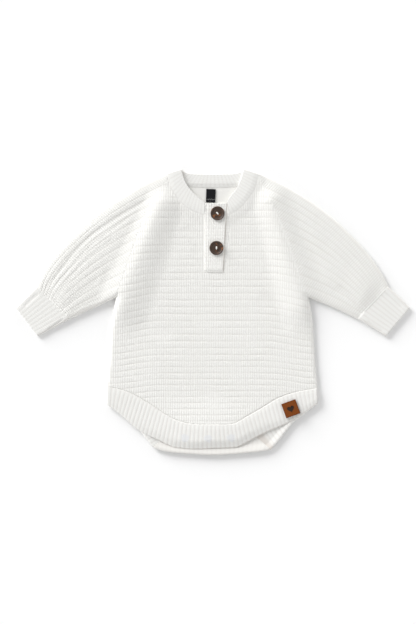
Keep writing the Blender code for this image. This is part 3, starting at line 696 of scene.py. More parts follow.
def maths(material, operation, first, second=0.0):
    return node(material, "ShaderNodeMath", {0: first, 1: second}, operation=operation).outputs[0]


def mix(material, share, first, second, blend="MIX"):
    """A colour between two, or their product. Each is a node's output or three plain numbers."""
    first, second = [c if isinstance(c, bpy.types.NodeSocket) else (*c, 1) for c in (first, second)]
    inputs = {0: share, 6: first, 7: second}
    return node(material, "ShaderNodeMix", inputs, data_type="RGBA", blend_type=blend).outputs[2]


def own_space(material):
    """Places in an object's own metres."""
    return node(material, "ShaderNodeTexCoord").outputs["Object"]


def stitch_space(material):
    """The UV map of a piece of cloth, in its own stitches and rows."""
    return node(material, "ShaderNodeUVMap", uv_map="stitches").outputs["UV"]


def noise(material, scale, detail=2.0):
    """Soft noise over an object's own space, with this many clouds to a metre."""
    inputs = {"Vector": own_space(material), "Scale": scale, "Detail": detail}
    return node(material, "ShaderNodeTexNoise", inputs).outputs["Fac"]


def bump(material, height, strength, distance):
    """Light bends over a height as if it stood up by this many millimetres."""
    inputs = {"Height": height, "Strength": strength, "Distance": distance * MM}
    return node(material, "ShaderNodeBump", inputs).outputs["Normal"]


def point_value(material, name):
    """The number that each point of a mesh has under this name."""
    return node(material, "ShaderNodeAttribute", attribute_name=name).outputs["Fac"]


def feed(material, shader, **outputs):
    """Link outputs to the shader's sockets."""
    for socket, output in outputs.items():
        material.node_tree.links.new(output, shader.inputs[socket.replace("_", " ")])


# %% Material of the yarn
# The groove colours are painted shade: darker and warmer where the knit shadows itself
YARN_CREST, YARN_GROOVE_SHADE = (0.875, 0.875, 0.855), (0.765, 0.75, 0.72)
RIB_CREST, RIB_GROOVE_SHADE = (0.82, 0.82, 0.80), (0.715, 0.695, 0.67)
SNAP_TINT = (0.93, 0.945, 0.985)  # the bands over a snap, as a share of the crest's colour
PAINTED_SHADE_TINT = (0.86, 0.79, 0.74)  # painted shade, warm brown-grey, in deep folds, gaps and under overhanging edges, as a share too
DRIFT = (0.965, 0.965, 0.955)  # the dullest that the colour drifts to, as a share of the crest's


def diagonal(material, uv):
    """Height of the yarn's twist, in slanting lines over the stitches."""
    return node(
        material, "ShaderNodeTexWave", {"Vector": uv, "Scale": 3.0, "Distortion": 1.5, "Detail": 2.0},
        wave_type="BANDS", bands_direction="DIAGONAL",
    ).outputs["Fac"]


def vees(material, uv):
    """Height of plain stitches, each a V. A rib is two wide in this UV map, and a stitch is one high."""
    part = node(material, "ShaderNodeSeparateXYZ", {0: uv})
    slant = maths(material, "MULTIPLY", maths(material, "PINGPONG", part.outputs[0], 1.0), 0.5)
    turns = maths(material, "MULTIPLY", maths(material, "ADD", part.outputs[1], slant), 2 * np.pi)
    return maths(material, "MULTIPLY", maths(material, "SINE", turns), 0.5)


def cotton(name, crest, groove, stitches):
    material, shader = new_material(name, 0.92, Sheen_Weight=0.15, Sheen_Roughness=0.6)
    # Crest colour on the crests and painted shade in the grooves, by each point's relief
    colour = mix(material, point_value(material, "relief"), groove, crest)
    drift = mix(material, noise(material, 30.0), DRIFT, (1, 1, 1))
    colour = mix(material, 1.0, colour, drift, "MULTIPLY")
    # spot is the snap's metal showing through the band; fold marks painted shade in folds, gaps and at edges
    for name_of, tint_of in (("spot", SNAP_TINT), ("fold", PAINTED_SHADE_TINT)):
        colour = mix(material, point_value(material, name_of), colour, tint_of, "MULTIPLY")
    twist = maths(material, "MULTIPLY", stitches(material, stitch_space(material)), 0.5)
    height = maths(material, "ADD", twist, noise(material, 2200.0, 3.0))
    feed(material, shader, Base_Color=colour, Normal=bump(material, height, 0.35, 0.3))
    return material


KNIT = cotton("cotton_knit", YARN_CREST, YARN_GROOVE_SHADE, diagonal)
RIBBED = cotton("rib_knit", RIB_CREST, RIB_GROOVE_SHADE, vees)
print("The cotton's colour on a crest is", YARN_CREST)

# %% [markdown]
# ## Edges of the body
# The front and the back end at the raglan seams, at the sides, and at the seams of the bands below and
# above. A band's seam is read from its rib lines, so the two pieces meet with the same small gap all along.

# %% Rib lines and seams
SEAM_POINTS = 120  # steps along a seam in which its reach is read
SETTLE = 30  # rounds in which a drooping course finds its end


def rib_lines(lines, ribs, samples):
    """Lines spread evenly along a band: seam points, free points and the rib count at each."""
    seam = np.column_stack([lines["seam_x"], lines["seam_up"]])
    free = np.column_stack([lines["free_x"], lines["free_up"]])
    knots = (lengths(seam) + lengths(free)) / 2
    shares = np.linspace(0, 1, ribs * samples + 1)
    at = shares * knots[-1]
    return curve(at, knots, seam), curve(at, knots, free), shares * ribs


def seam_reach(lines, side, up):
    """Distance from the middle line to a band's seam at this height, and the seam's highest place."""
    sign = SIDES[side]
    seam = rib_lines(lines, SEAM_POINTS, 1)[0] * (sign, 1)
    seam = seam[seam[:, 0] > 0]
    order = np.argsort(seam[:, 1])
    return np.interp(up, seam[order, 1], seam[order, 0]), seam[order[-1], 1]


def panel_edge(lines, side, up):
    """Distance from the middle line to a panel's edge: raglan, side, then the seam of the band below."""
    hem, corner = seam_reach(lines, side, up)
    raglan, flank = smooth(up, RAGLAN["up"], RAGLAN[side]), smooth(up, SIDE["up"], SIDE[side])
    body = np.where(up > SIDE["up"][0], raglan, flank)
    return np.where(up > corner, body, hem) - SEAM / 2


def hanging(level, x):
    """Height of a knit course at x, where it droops towards the sides."""
    return level - smooth(level, DROOP["up"], DROOP["drop"]) * soft_step(np.abs(x), *DROOP_FROM_TO)


def course_end(lines, side, levels):
    """Distance from the middle line to where each drooping course meets the outline."""
    out = panel_edge(lines, side, levels)
    for _ in range(SETTLE):
        out = panel_edge(lines, side, hanging(levels, out))
    return out


under_arms = [round(float(panel_edge(LEG_BAND, side, 18.0)), 1) for side in SIDES]
print("Under the arms the body's edges are", under_arms, "mm from its middle line")

# %% [markdown]
# ## The front
# The front is one panel with a slot from the neckline down, which the placket closes. Its courses run from
# side to side, and droop a little at the sides because the body is rounder than the cut. Above the foot of
# the slot each course is in two halves, so the panel has three parts that share the course at the foot.

# %% Rows of a panel
FRONT_COUNTS_TOP = 37.6  # ridge count at the shoulder
COLUMN_0 = -(SLOT_LEFT + SEAM)  # x of the first mesh column, at the left side of the slot
SEAM_ROLL, SEAM_FALL = 0.8, 0.05  # how an edge rounds down into a seam
SWAY, SWAY_ROOM = 0.35, 8.0  # how far columns and courses wander, and how near to an edge they stop
SWAY_SIZES = (14, 11)  # how slowly they wander
NECK_RISE, NECK_SLOPE = 0.9, 14.0  # how far the front comes up to the neckband's seam, and over what width
NECK_POINTS, HEM_POINTS = 20, 30  # steps along those seams, to measure the distance to them
COARSE = 12  # mesh columns of the outside for one of the inside
FRONT_NECK = {"left": NECK_FRONT_LEFT, "right": NECK_FRONT_RIGHT}


def neck_rise(x, up, lifted):
    """What is left for the cloth to come up to the thicker neckband, where folds lift it already."""
    ways = [near(x, up, rib_lines(FRONT_NECK[side], NECK_POINTS, 1)[0])[0] for side in SIDES]
    return np.maximum(NECK_RISE - lifted, 0) * (1 - soft_step(np.minimum(*ways), 0, NECK_SLOPE))


def body_rows(counts, lines, inside):
    """Level of each course, and its ends and the sides of its middle gap, in columns."""
    levels = np.interp(counts, RIDGES["count"], RIDGES["up"])
    ends = [-course_end(lines[0], "left", levels), course_end(lines[1], "right", levels)]
    gap = [-inside("left", levels), inside("right", levels)]
    return levels, [(x - COLUMN_0) / STEP for x in ends + gap]


def front_inside(side, levels):
    neck = seam_reach(FRONT_NECK[side], side, levels)[0]
    slot = SLOT_LEFT if side == "left" else smooth(levels, SLOT["up"], SLOT["right"])
    return np.where(levels > SLOT["up"][0], neck, slot) + SEAM


def body_parts(levels, ends, foot):
    """The three parts of a panel whose courses are in two halves from the row called foot."""
    left, right, gap_left, gap_right = ends
    whole = [(i, left[i], right[i]) for i in range(foot + 1)]
    halves = range(foot, len(levels))
    return [
        whole,
        [(i, left[i], gap_left[i]) for i in halves],
        [(i, gap_right[i], right[i]) for i in halves],
    ]


def to_sides(lines, x, up):
    """Distance to the nearer side of the body, or to the underarm where that is nearer."""
    below = np.minimum(up, SIDE["up"][0])
    left = panel_edge(lines[0], "left", below) + x
    right = panel_edge(lines[1], "right", below) - x
    return np.hypot(np.maximum(np.minimum(left, right), 0), up - below)


def to_ends(row, column, ends, foot):
    """Distance along the course to its nearer end."""
    left, right, gap_left, gap_right = [end[row] for end in ends]
    outside = np.minimum(column - left, right - column)
    gap = np.where(row > foot, np.minimum(np.abs(column - gap_left), np.abs(column - gap_right)), outside)
    return np.minimum(outside, gap) * STEP


def knitted(x, up, z, column, count, relief):
    """What a shell asks of its outer points: places, a UV map in stitches and rows, and relief."""
    return np.column_stack([x, up, z]), np.column_stack([column / COLUMNS, 2 * count]), relief


print("The first mesh column is at x", COLUMN_0, "and the next ones", round(STEP, 3), "mm apart")

# %% Front panel


def front_panel():
    counts = np.arange(round(ROWS * RIDGES["count"][0]), ROWS * FRONT_COUNTS_TOP + 0.5) / ROWS
    lines = (LEG_BAND, LEG_BAND)
    levels, ends = body_rows(counts, lines, front_inside)
    foot = int(np.argmin(np.abs(levels - SLOT_FOOT)))

    def plan(row, column):
        x = COLUMN_0 + column * STEP
        up = hanging(levels[row], x)
        room = soft_step(to_ends(row, column, ends, foot), 0, SWAY_ROOM)
        up_room = room * soft_step(row, 0, ROWS)
        aside, along = uneven(x, up, SWAY_SIZES[0]), uneven(up, x, SWAY_SIZES[1])
        return x + SWAY * room * aside, up + SWAY * up_room * along

    def low(x, up):
        lifted = folds(x, up) * pinned(to_sides(lines, x, up))
        return FRONT_LOW + hem_lift(x, up) + lifted + neck_rise(x, up, lifted)

    hem = rib_lines(LEG_BAND, HEM_POINTS, 1)[0]

    def outer(row, column):
        x, up = plan(row, column)
        to_seam = np.minimum(to_ends(row, column, ends, foot), near(x, up, hem)[0])
        relief = taken_up(ridge_relief(counts[row], column / COLUMNS, uneven(x, up, WEAR_SIZE)), to_seam)
        z = low(x, up) + WALL + RIDGE * relief + creases("front", x, up)
        z -= rounded(to_sides(lines, x, up), EDGE_ROLL, EDGE_FALL) + rounded(to_seam, SEAM_ROLL, SEAM_FALL)
        return knitted(x, up, z, column, counts[row], relief)

    def inner(row, column):
        x, up = plan(row, column)
        return np.column_stack([x, up, low(x, up)])

    parts = body_parts(levels, ends, foot)
    knit_shell("front_knit", parts, outer, inner, COARSE, KNIT, "front_panel")


front_panel()

# %% [markdown]
# ## The back
# The back is plain and lies on the surface. Its outside faces down, so the crests of its ridges touch the
# surface and the grooves lie above them. Its inside shows through the neck, where the stitches are flatter.

# %% Back panel
BACK_COUNTS_TOP = 37.3  # ridge count at the shoulder
BACK_COUNTS_UNDER = 0.9  # ridges of the back below the front's hem
BACK_ROWS = 228  # mesh rows of the back
BACK_COARSE = 3  # its inside shows, so it has more columns
INSIDE_RELIEF = 0.15  # height of the stitches on the inside


def back_inside(side, levels):
    return seam_reach(NECK_BACK, side, np.maximum(levels, BACK_NECK))[0] + SEAM


def back_panel():
    first = np.interp(BACK_HEM, RIDGES["up"], RIDGES["count"]) - BACK_COUNTS_UNDER
    counts = np.linspace(first, BACK_COUNTS_TOP, BACK_ROWS)
    lines = (BACK_LEG_LEFT, BACK_LEG_RIGHT)
    levels = np.interp(counts, np.r_[first, RIDGES["count"]], np.r_[BACK_HEM, RIDGES["up"]])
    ends = [-panel_edge(lines[0], "left", levels), panel_edge(lines[1], "right", levels)]
    gap = [-back_inside("left", levels), back_inside("right", levels)]
    ends = [(x - COLUMN_0) / STEP for x in ends + gap]
    foot = int(np.argmin(np.abs(levels - BACK_NECK)))

    def plan(row, column):
        return COLUMN_0 + column * STEP, levels[row]

    def outer(row, column):
        x, up = plan(row, column)
        relief = ridge_relief(counts[row], column / COLUMNS)
        z = FLATTENED * RIDGE * (1 - relief) - creases("back", x, up)
        z += rounded(to_sides(lines, x, up), BACK_ROLL, BACK_FALL)
        return knitted(x, up, z, column, counts[row], relief)

    def inner(row, column):
        x, up = plan(row, column)
        flat = BACK_TOP - INSIDE_RELIEF * (1 - ridge_relief(counts[row] + 0.5, column / COLUMNS))
        return np.column_stack([x, up, flat])

    parts = body_parts(levels, ends, foot)
    knit_shell("back_knit", parts, outer, inner, BACK_COARSE, KNIT, "back_panel")


back_panel()

# %% [markdown]
# ## The sleeves
# A raglan sleeve is knitted sideways here: its ridges run from the cuff to the slanting seam, and fan out
# as it widens. Flattened, it is a tube with two soft edges. A row of the mesh is one line along a ridge,
# measured from the cuff in stitches, and the seam cuts each row where it meets it.

# %% Flattened tubes
SLEEVE_RIDGES = 11
SLEEVE_GROOVE = 0.5  # as on the body; a sleeve that is pulled across its ridges has deeper ones
ALONG = 80  # steps along a sleeve for reading its curves
ACROSS = 60  # and steps across it
EDGE_TURNS = 5  # mesh rows that turn round a folded edge
UNDER_ROWS = 6  # mesh rows in a ridge on the hidden side
PUFF_FROM = 0.15  # share of a sleeve's length over which the air lifts it, from the cuff


def mirrored(outline, side):
    """Plane points of an outline table's left or right edge."""
    return np.column_stack([SIDES[side] * outline[side], outline["up"]])


def sleeve_plane(side):
    """Function from shares across a sleeve to its plane points, and the sleeve's width along it."""
    sign = SIDES[side]
    up = np.linspace(RAGLAN["up"][-1], RAGLAN["up"][0], ACROSS)
    reach = smooth(up, RAGLAN["up"], RAGLAN[side]) + SEAM / 2
    raglan = np.column_stack([sign * reach, up])
    top, under = mirrored(SLEEVE_TOP, side), mirrored(SLEEVE_UNDER, side)
    neck = top[0] + (sign * SEAM, -SEAM)
    raglan = np.concatenate([under[:1], raglan[1:], [neck]])
    top[0] = neck
    across = np.linspace(0, 1, ACROSS + 1)
    along = np.linspace(0, 1, ALONG)
    grid = patch(under[::-1], top[::-1], np.array([under[-1], top[-1]]), raglan, across, along)
    wide = np.hypot(*(grid[-1] - grid[0]).T)

    def plane(shares):
        return np.array([
            np.column_stack([np.interp(s, across, grid[:, i, k]) for k in (0, 1)])
            for i, s in enumerate(shares)
        ])

    return plane, wide


def tube_rows(wide, ridges, rows_top, rows_under, margin=EDGE_MARGIN):
    """Rows round a flattened tube: their shares across it, which face they are on, and their ridge count.

    face is 1 on top, 0 at a folded edge and -1 underneath."""
    inset = margin / wide[:, None]
    turn = np.linspace(0, np.pi / 2, EDGE_TURNS + 1)[:-1]

    def round_edge(edge, sign, angles):
        """Rows that turn round the folded edge at share 0 or 1."""
        shares = np.abs(edge - inset * (1 - np.cos(angles)))
        return shares, sign * np.sin(angles), np.full(len(angles), edge * ridges)

    rows = []
    for sign, start, end, number in ((1.0, 0.0, 1.0, rows_top), (-1.0, 1.0, 0.0, rows_under)):
        flat = np.linspace(start, end, number)
        rows.append(round_edge(start, sign, turn))
        rows.append((inset + (1 - 2 * inset) * flat, np.full(number, sign), ridges * flat))
        rows.append(round_edge(end, sign, turn[:0:-1]))
    shares, face, count = zip(*rows)
    return np.concatenate(shares, axis=1), np.concatenate(face), np.concatenate(count)


def evened(relief, face):
    """The relief, which is brought to its middle level at a folded edge."""
    return relief * np.abs(face) + 0.5 * (1 - np.abs(face))


def tube_inside(high, face):
    """Height of the inside of a flattened tube, whose upper layer has this underside."""
    return np.where(face > 0, MIDDLE + (high - MIDDLE) * face, MIDDLE + (MIDDLE - BACK_TOP) * face)


print("A folded edge is", round(MIDDLE, 2), "mm up, and", 2 * EDGE_TURNS - 1, "mesh rows turn round it")

# %% Sleeves


def sleeve(side):
    plane, wide = sleeve_plane(side)
    rows_of = [number * SLEEVE_RIDGES + 1 for number in (ROWS, UNDER_ROWS)]
    shares, face, count = tube_rows(wide, SLEEVE_RIDGES, *rows_of)
    points = plane(shares)
    inset = WALL / wide[:, None]
    inside = plane(inset + (1 - 2 * inset) * shares)
    along = np.linspace(0, 1, ALONG)
    belly = np.sin(np.pi * shares) * (soft_step(along, 0, PUFF_FROM) * (1 - along**4))[:, None]
    lifted = folds(points[..., 0], points[..., 1]) * pinned(shares * wide[:, None]) + SLEEVE_PUFF * belly
    raised = FRONT_LOW + lifted + neck_rise(points[..., 0], points[..., 1], lifted)
    arcs = np.column_stack([lengths(points[:, i]) for i in range(len(face))])
    length = arcs[-1] / STEP

    def read(grid, row, column):
        """Values of a grid of steps along by rows round, at these rows and columns."""
        found = np.empty(len(row))
        for i in np.unique(row):
            here = row == i
            found[here] = np.interp(column[here] * STEP, arcs[:, i], grid[:, i])
        return found

    def outer(row, column):
        x, up, high = [read(g, row, column) for g in (points[..., 0], points[..., 1], raised + WALL)]
        side_of = face[row]
        to_end = np.minimum(column, length[row] - column) * STEP
        relief = ridge_relief(count[row], column / COLUMNS, uneven(x, up, WEAR_SIZE), SLEEVE_GROOVE)
        at_cuff = column < length[row] / 2
        relief = taken_up(relief, np.where(at_cuff, 2 * to_end, to_end))  # the cuff's seam is narrower
        relief = evened(relief, side_of)
        high = high + creases(f"sleeve_{side}", x, up)
        top = MIDDLE + (high - MIDDLE) * side_of + RIDGE * relief * side_of
        pressed = FLATTENED * RIDGE * (1 - relief) - creases(f"sleeve_{side}_under", x, up)
        z = np.where(side_of >= 0, top, MIDDLE * (1 + side_of) - pressed * side_of)
        z -= np.where(side_of > 0, rounded(to_end, SEAM_ROLL, SEAM_FALL), 0)
        return knitted(x, up, z, column, count[row], relief)

    def inner(row, column):
        x, up, high = [read(g, row, column) for g in (inside[..., 0], inside[..., 1], raised)]
        return np.column_stack([x, up, tube_inside(high, face[row])])

    rows = [(i, 0.0, length[i]) for i in (*range(len(face)), 0)]
    knit_shell(f"sleeve_knit_{side}", [rows], outer, inner, COARSE, KNIT, f"sleeve_{side}")


for side in SIDES:
    sleeve(side)

# %% [markdown]
# ## Ribs
# The cuffs and bands are ribbed: a round column of plain stitches stands up, and the purl column beside it
# sinks into a narrow groove. Each plain stitch is a small V, which shows as a soft zigzag along the rib.

# %% Relief of a rib, and walls between two grids
RIB_SAMPLES = 6  # mesh columns in a rib
RIB_POWER = 0.7  # narrows the grooves between ribs
STITCH_ROW = 2.3  # height of one plain stitch
VEE = 0.1  # share of a rib's height that its stitches have
BAND_STEP = 0.77  # distance between mesh rows across a band


def rib_relief(count, along, depth=1.0):
    """Height of a rib at this rib count and this distance along it, up to 1. depth is its grooves' share."""
    bar = 1 - depth * (1 - np.abs(np.sin(np.pi * count)) ** RIB_POWER)
    vee = np.cos(2 * np.pi * (along / STITCH_ROW - np.abs(count % 1 - 0.5)))
    return bar * (1 - VEE + VEE * vee)


def grid_wall(name, outer, inner, uv, relief, material, solid, ring=False, inner_relief=None):
    """A closed wall between two grids of points with the same rows and columns."""
    rows, across = outer.shape[:2]
    total = rows * across
    index = np.arange(total).reshape(rows, across)
    if ring:
        index = np.concatenate([index, index[:, :1]], axis=1)
    corners = index[:-1, :-1], index[:-1, 1:], index[1:, 1:], index[1:, :-1]
    quads = np.stack(corners, axis=-1).reshape(-1, 4)
    faces = quads.tolist()
    rim = rim_faces(faces, {k: k + total for k in range(total)})
    faces += (quads[:, ::-1] + total).tolist()
    points = np.concatenate([outer.reshape(-1, 3), inner.reshape(-1, 3)])
    uv = np.concatenate([uv.reshape(-1, 2)] * 2)
    inner_relief = np.full(total, 0.5) if inner_relief is None else inner_relief.ravel()
    relief = np.concatenate([relief.ravel(), inner_relief])
    return add_mesh(name, points, faces, rim, uv, relief, material, solid)


def tint(made, name, outer, inner=None):
    """Give a wall a share of a tint: its values on the outer grid, and on the inner one."""
    inner = np.zeros(outer.size) if inner is None else inner.ravel()
    add_value(made, name, np.concatenate([outer.ravel(), inner]))


def pairs(first, second):
    """A grid of pairs, from two grids or a row and a column."""
    return np.stack(np.broadcast_arrays(first, second), axis=2)


def with_height(plane, height):
    """Plane points with a height added as the third coordinate."""
    return np.concatenate([plane, np.broadcast_to(height, plane.shape[:2])[..., None]], axis=2)


def plane_wall(name, plane, top, low, *rest):
    """A closed wall over one grid of plane points, between two heights."""
    return grid_wall(name, with_height(plane, top), with_height(plane, low), *rest)


print("A rib's crest and groove:", rib_relief(np.array([0.5, 0.0]), 0.0).round(2))

# %% [markdown]
# ## The cuffs
# A cuff is a short ribbed tube, linked to the sleeve's end and pressed flat by its own weight. Its ribs run
# along the sleeve and go round its two soft edges, so the mesh is a ring: its columns go once round the
# tube, and its rows go from the seam to the open end, where the edge turns in.

# %% Cuffs
CUFF_RIBS, CUFF_DEPTH = 9, 0.6  # ribs on each face, and the depth of their grooves
CUFF_MARGIN = 2.6  # width of a cuff's rounded edge
CUFF_ROLL, CUFF_FALL = 1.5, 0.6  # how its open end rounds off
CUFF_RISE, CUFF_SLOPE = 0.2, 0.9  # what brings a cuff level with the sleeve, and how far it falls to its end


def cuff(side):
    top = np.array([mirrored(SLEEVE_TOP, side)[-1], mirrored(CUFF_END, side)[0]])
    under = np.array([mirrored(SLEEVE_UNDER, side)[-1], mirrored(CUFF_END, side)[1]])
    long = np.hypot(*(top[1] - top[0]))
    steps = np.linspace(SEAM / long, 1, int(long / BAND_STEP))[:, None]
    top, under = top[0] + steps * (top[1] - top[0]), under[0] + steps * (under[1] - under[0])
    wide = np.hypot(*(top - under).T)
    samples = CUFF_RIBS * RIB_SAMPLES + 1
    shares, face, count = tube_rows(wide, CUFF_RIBS, samples, samples, CUFF_MARGIN)

    def plane(across):
        return under[:, None] + across[..., None] * (top - under)[:, None]

    along = steps * long
    relief = evened(rib_relief(count[None], along, CUFF_DEPTH), face)
    points = plane(shares)
    high = FRONT_LOW + WALL + CUFF_RISE + creases(f"cuff_{side}", points[..., 0], points[..., 1])
    high = high - rounded(long - along, CUFF_ROLL, CUFF_FALL) - CUFF_SLOPE * along / long
    upper = MIDDLE + (high - MIDDLE) * face + RIB * relief * face
    lower = MIDDLE * (1 + face) - RIB * (1 - relief) * face
    outer = with_height(points, np.where(face >= 0, upper, lower))
    inset = WALL / wide[:, None]
    inner = with_height(plane(inset + (1 - 2 * inset) * shares), tube_inside(FRONT_LOW, face)[None])
    uv = pairs(2 * count[None], along / STITCH_ROW)
    grid_wall(f"cuff_knit_{side}", outer, inner, uv, relief, RIBBED, f"cuff_{side}", ring=True)


for side in SIDES:
    cuff(side)

# %% [markdown]
# ## The leg band
# One long ribbed band finishes the front along both legs and the crotch. It is knitted as a strip, linked to
# the hem and left free below. So it is made as rib lines, from the seam to the free edge, which fan out
# round the curves as real ribs do. Near the free edge it gets thinner and drops onto the band behind it.

# %% Points across a band


def across_band(seam, free):
    """Plane points from the seam to the free edge of each rib line, and distances from both."""
    long = np.hypot(*(free - seam).T)
    shares = np.linspace(0, 1, int(long.max() / BAND_STEP))[None, :, None]
    plane = seam[:, None] + shares * (free - seam)[:, None]
    from_seam = shares[..., 0] * long[:, None]
    return plane, from_seam, long[:, None] - from_seam


def band_uv(count, from_seam):
    """UV map of a band: two to a rib, and one to a stitch."""
    return pairs(2 * count[:, None], from_seam / STITCH_ROW)


leg_widths = np.hypot(LEG_BAND["free_x"] - LEG_BAND["seam_x"], LEG_BAND["free_up"] - LEG_BAND["seam_up"])
print("The leg band is", leg_widths.min().round(1), "to", leg_widths.max().round(1), "mm wide")

# %% Front leg band
LEG_BAND_LOW = span("front_leg_band", 2)[0]
LEG_BAND_RIBS = 54
LEG_DEPTH = 0.9  # depth of the grooves between its ribs
LEG_ROLL, LEG_FALL = 2.0, 0.7  # how its free edge rounds off
LEG_TAPER, TAPER_WIDTH = 0.55, 8.0  # how much thinner the band gets towards its free edge
EDGE_DROOP = 12.0  # width over which it falls back
HEM_ROLL_FALL = (1.6, 0.2)  # how it rounds down into its seam
SEAM_SLOPE, LEG_DIP = 7.0, 0.3  # width over which a band comes down to its seam, and how far
EDGE_LINE, LINE_FROM_TO = (0.3, 1.4), (-80.0, -60.0)  # a thin line of painted shade along a free edge, and from where along the band it shows
EDGE_SHADE = 0.35  # and how much painted shade it has
SPOT_RADIUS, SPOT_LEVEL, SPOT_FLAT = 5.4, 0.75, 0.6  # where a snap presses the ribs flat, and how much
SPOT_IN, SPOT_OUT = 1.5, 1.0  # how soft a spot's edge is, inwards and outwards
SPOT_WANDER, WANDER_SIZE = 0.8, 1.6  # how far that edge wanders, and how quickly
SNAPS = ("snap_left", "snap_middle", "snap_right")


def leg_band_low(x, up, to_free):
    """Underside of the front leg band. Its free edge falls back onto the band behind it."""
    return LEG_BAND_LOW + hem_lift(x, up) * soft_step(to_free, 0, EDGE_DROOP)


def snap_spots(plane):
    """How much of a snap's press and tint each point of the leg band has, from 0 to 1."""
    total = np.zeros(plane.shape[:2])
    for solid in SNAPS:
        away = np.hypot(*np.moveaxis(plane - middle(solid), 2, 0))
        away = away + SPOT_WANDER * uneven(plane[..., 0], plane[..., 1], WANDER_SIZE)
        total += 1 - soft_step(away, SPOT_RADIUS - SPOT_IN, SPOT_RADIUS + SPOT_OUT)
    return total


def front_leg_band():
    seam, free, count = rib_lines(LEG_BAND, LEG_BAND_RIBS, RIB_SAMPLES)
    plane, from_seam, to_free = across_band(seam + (0, -SEAM / 2), free)
    low = leg_band_low(plane[..., 0], plane[..., 1], to_free)
    relief = taken_up(rib_relief(count[:, None], from_seam, LEG_DEPTH), from_seam)
    spot = snap_spots(plane)
    relief = relief + (SPOT_LEVEL - relief) * SPOT_FLAT * spot
    top = low + BAND_WALL + RIB * relief - rounded(to_free, LEG_ROLL, LEG_FALL)
    top -= LEG_TAPER * (1 - soft_step(to_free, 0, TAPER_WIDTH))
    top -= rounded(from_seam, *HEM_ROLL_FALL) + LEG_DIP * (1 - soft_step(from_seam, 0, SEAM_SLOPE))
    uv = band_uv(count, from_seam)
    made = plane_wall("front_leg_rib", plane, top, low, uv, relief, RIBBED, "front_leg_band")
    tint(made, "spot", spot)
    # Painted shade in a thin line along the free edge, where it overhangs the band behind it
    line = (1 - soft_step(to_free, *EDGE_LINE)) * soft_step(plane[..., 0], *LINE_FROM_TO)
    tint(made, "fold", EDGE_SHADE * line)


front_leg_band()

# %% [markdown]
# ## The back bands
# The back has its own bands: one at each leg, and one at the crotch, which snaps to the front. They lie
# with their insides up, and only a strip of each shows. Their free edges curl up off the surface, as a
# knitted edge does. At one leg the end of the band is tucked in behind the crotch band.

# %% Back leg and crotch bands
CROTCH_RIBS, BACK_LEG_RIBS = 26, 16
EDGE_CURL, CURL_WIDTH = 2.2, 15.0  # how far a free edge curls up off the surface, and over what width
TUCK_SHADE, TUCK_DEPTH, TUCK_LEVEL = 0.5, 0.3, 0.4  # a tucked end: how much painted shade it gets in its gap, how much deeper it lies, and its relief
TUCK_SOFT = 0.3  # share of the tucked ribs over which it gets there
END_RIBS = 1.5  # ribs over which a band's own end comes down


def back_band(solid, lines, ribs, depth, full=0.0, tuck=0.0, end_fall=0.0, shade=0.0):
    """A band of the back layer: flat below, ribbed above, where its inside shows.

    depth is its grooves' share, and full is how far it swells up to the band in front of it. tuck is how
    many ribs at its end lie tucked in behind the crotch band, and end_fall is how far its own end comes down.
    shade is how much painted shade darkens it, all over."""
    seam, free, count = rib_lines(lines, ribs, RIB_SAMPLES)
    plane, from_seam, to_free = across_band(seam, free)
    relief = rib_relief(count[:, None], from_seam, depth)
    thickness = span(solid, 2)[1]
    curl = EDGE_CURL * (1 - soft_step(to_free, 0, CURL_WIDTH))
    tucked = soft_step(count[:, None], ribs - tuck, ribs - TUCK_SOFT * tuck) if tuck else 0 * relief
    relief = relief + (TUCK_LEVEL - relief) * tucked
    curl = np.maximum(curl, full * soft_step(from_seam, 0, SEAM_SLOPE))
    curl = curl - TUCK_DEPTH * tucked - end_fall * soft_step(count[:, None], ribs - END_RIBS, ribs)
    top = thickness - RIB * (1 - relief) - rounded(to_free, BAND_ROLL, BACK_FALL) + curl
    low = rounded(to_free, BAND_ROLL, BACK_FALL / 2) + np.maximum(curl - full, 0)
    name = solid.replace("band", "rib")
    made = plane_wall(name, plane, top, low, band_uv(count, from_seam), relief, RIBBED, solid)
    # Painted shade: more in the gap at a tucked end, and the shade share all over the band
    tint(made, "fold", np.broadcast_to(np.maximum(TUCK_SHADE * tucked, shade), relief.shape))


back_band("back_leg_band_left", BACK_LEG_LEFT, BACK_LEG_RIBS, 0.8, full=0.8)
back_band("back_leg_band_right", BACK_LEG_RIGHT, BACK_LEG_RIBS, 0.8, full=0.8, tuck=2.2)
back_band("back_crotch_band", CROTCH_BAND, CROTCH_RIBS, 0.3, end_fall=0.6, shade=0.2)

# %% [markdown]
# ## The neckband
# One ribbed band goes round the neck. Laid flat it folds over at both shoulders: its outside shows on the
# front, and its inside at the back. It is made as one strip, whose rib lines turn half a circle about a
# level line at each shoulder, so the fold is as round as the knit is thick.

# %% Neckband
NECK_FRONT_RIBS, NECK_BACK_RIBS = 14, 21
NECK_FOLD = 3.25  # height of the line that the strip turns about
NECK_OUTER, NECK_INNER = 3.25, 0.15  # how far its outside and its inside are from that line
NECK_DEPTH, NECK_CONTRAST = 0.42, 0.55  # its grooves' share of a rib's height in depth, and in their painted groove shade
NECK_DIP, BACK_DIP = 0.5, 0.8  # how far the band's two halves come down to their seams
NECK_SAG, SAG_WIDTH = 0.15, 8.0  # how far its front half sags towards its free edge, and over what width
NECK_ROLL, NECK_FALL = 1.2, 0.06  # how its free edge rounds off
NECK_SHADE, SHADE_FROM_TO = 0.8, (-46.0, -34.0)  # painted shade on the back half by the left shoulder, where the neck's shadow falls, and where it fades
FOLD_STEPS, FOLD_RIBS = 12, 2  # mesh steps and ribs in a shoulder's fold


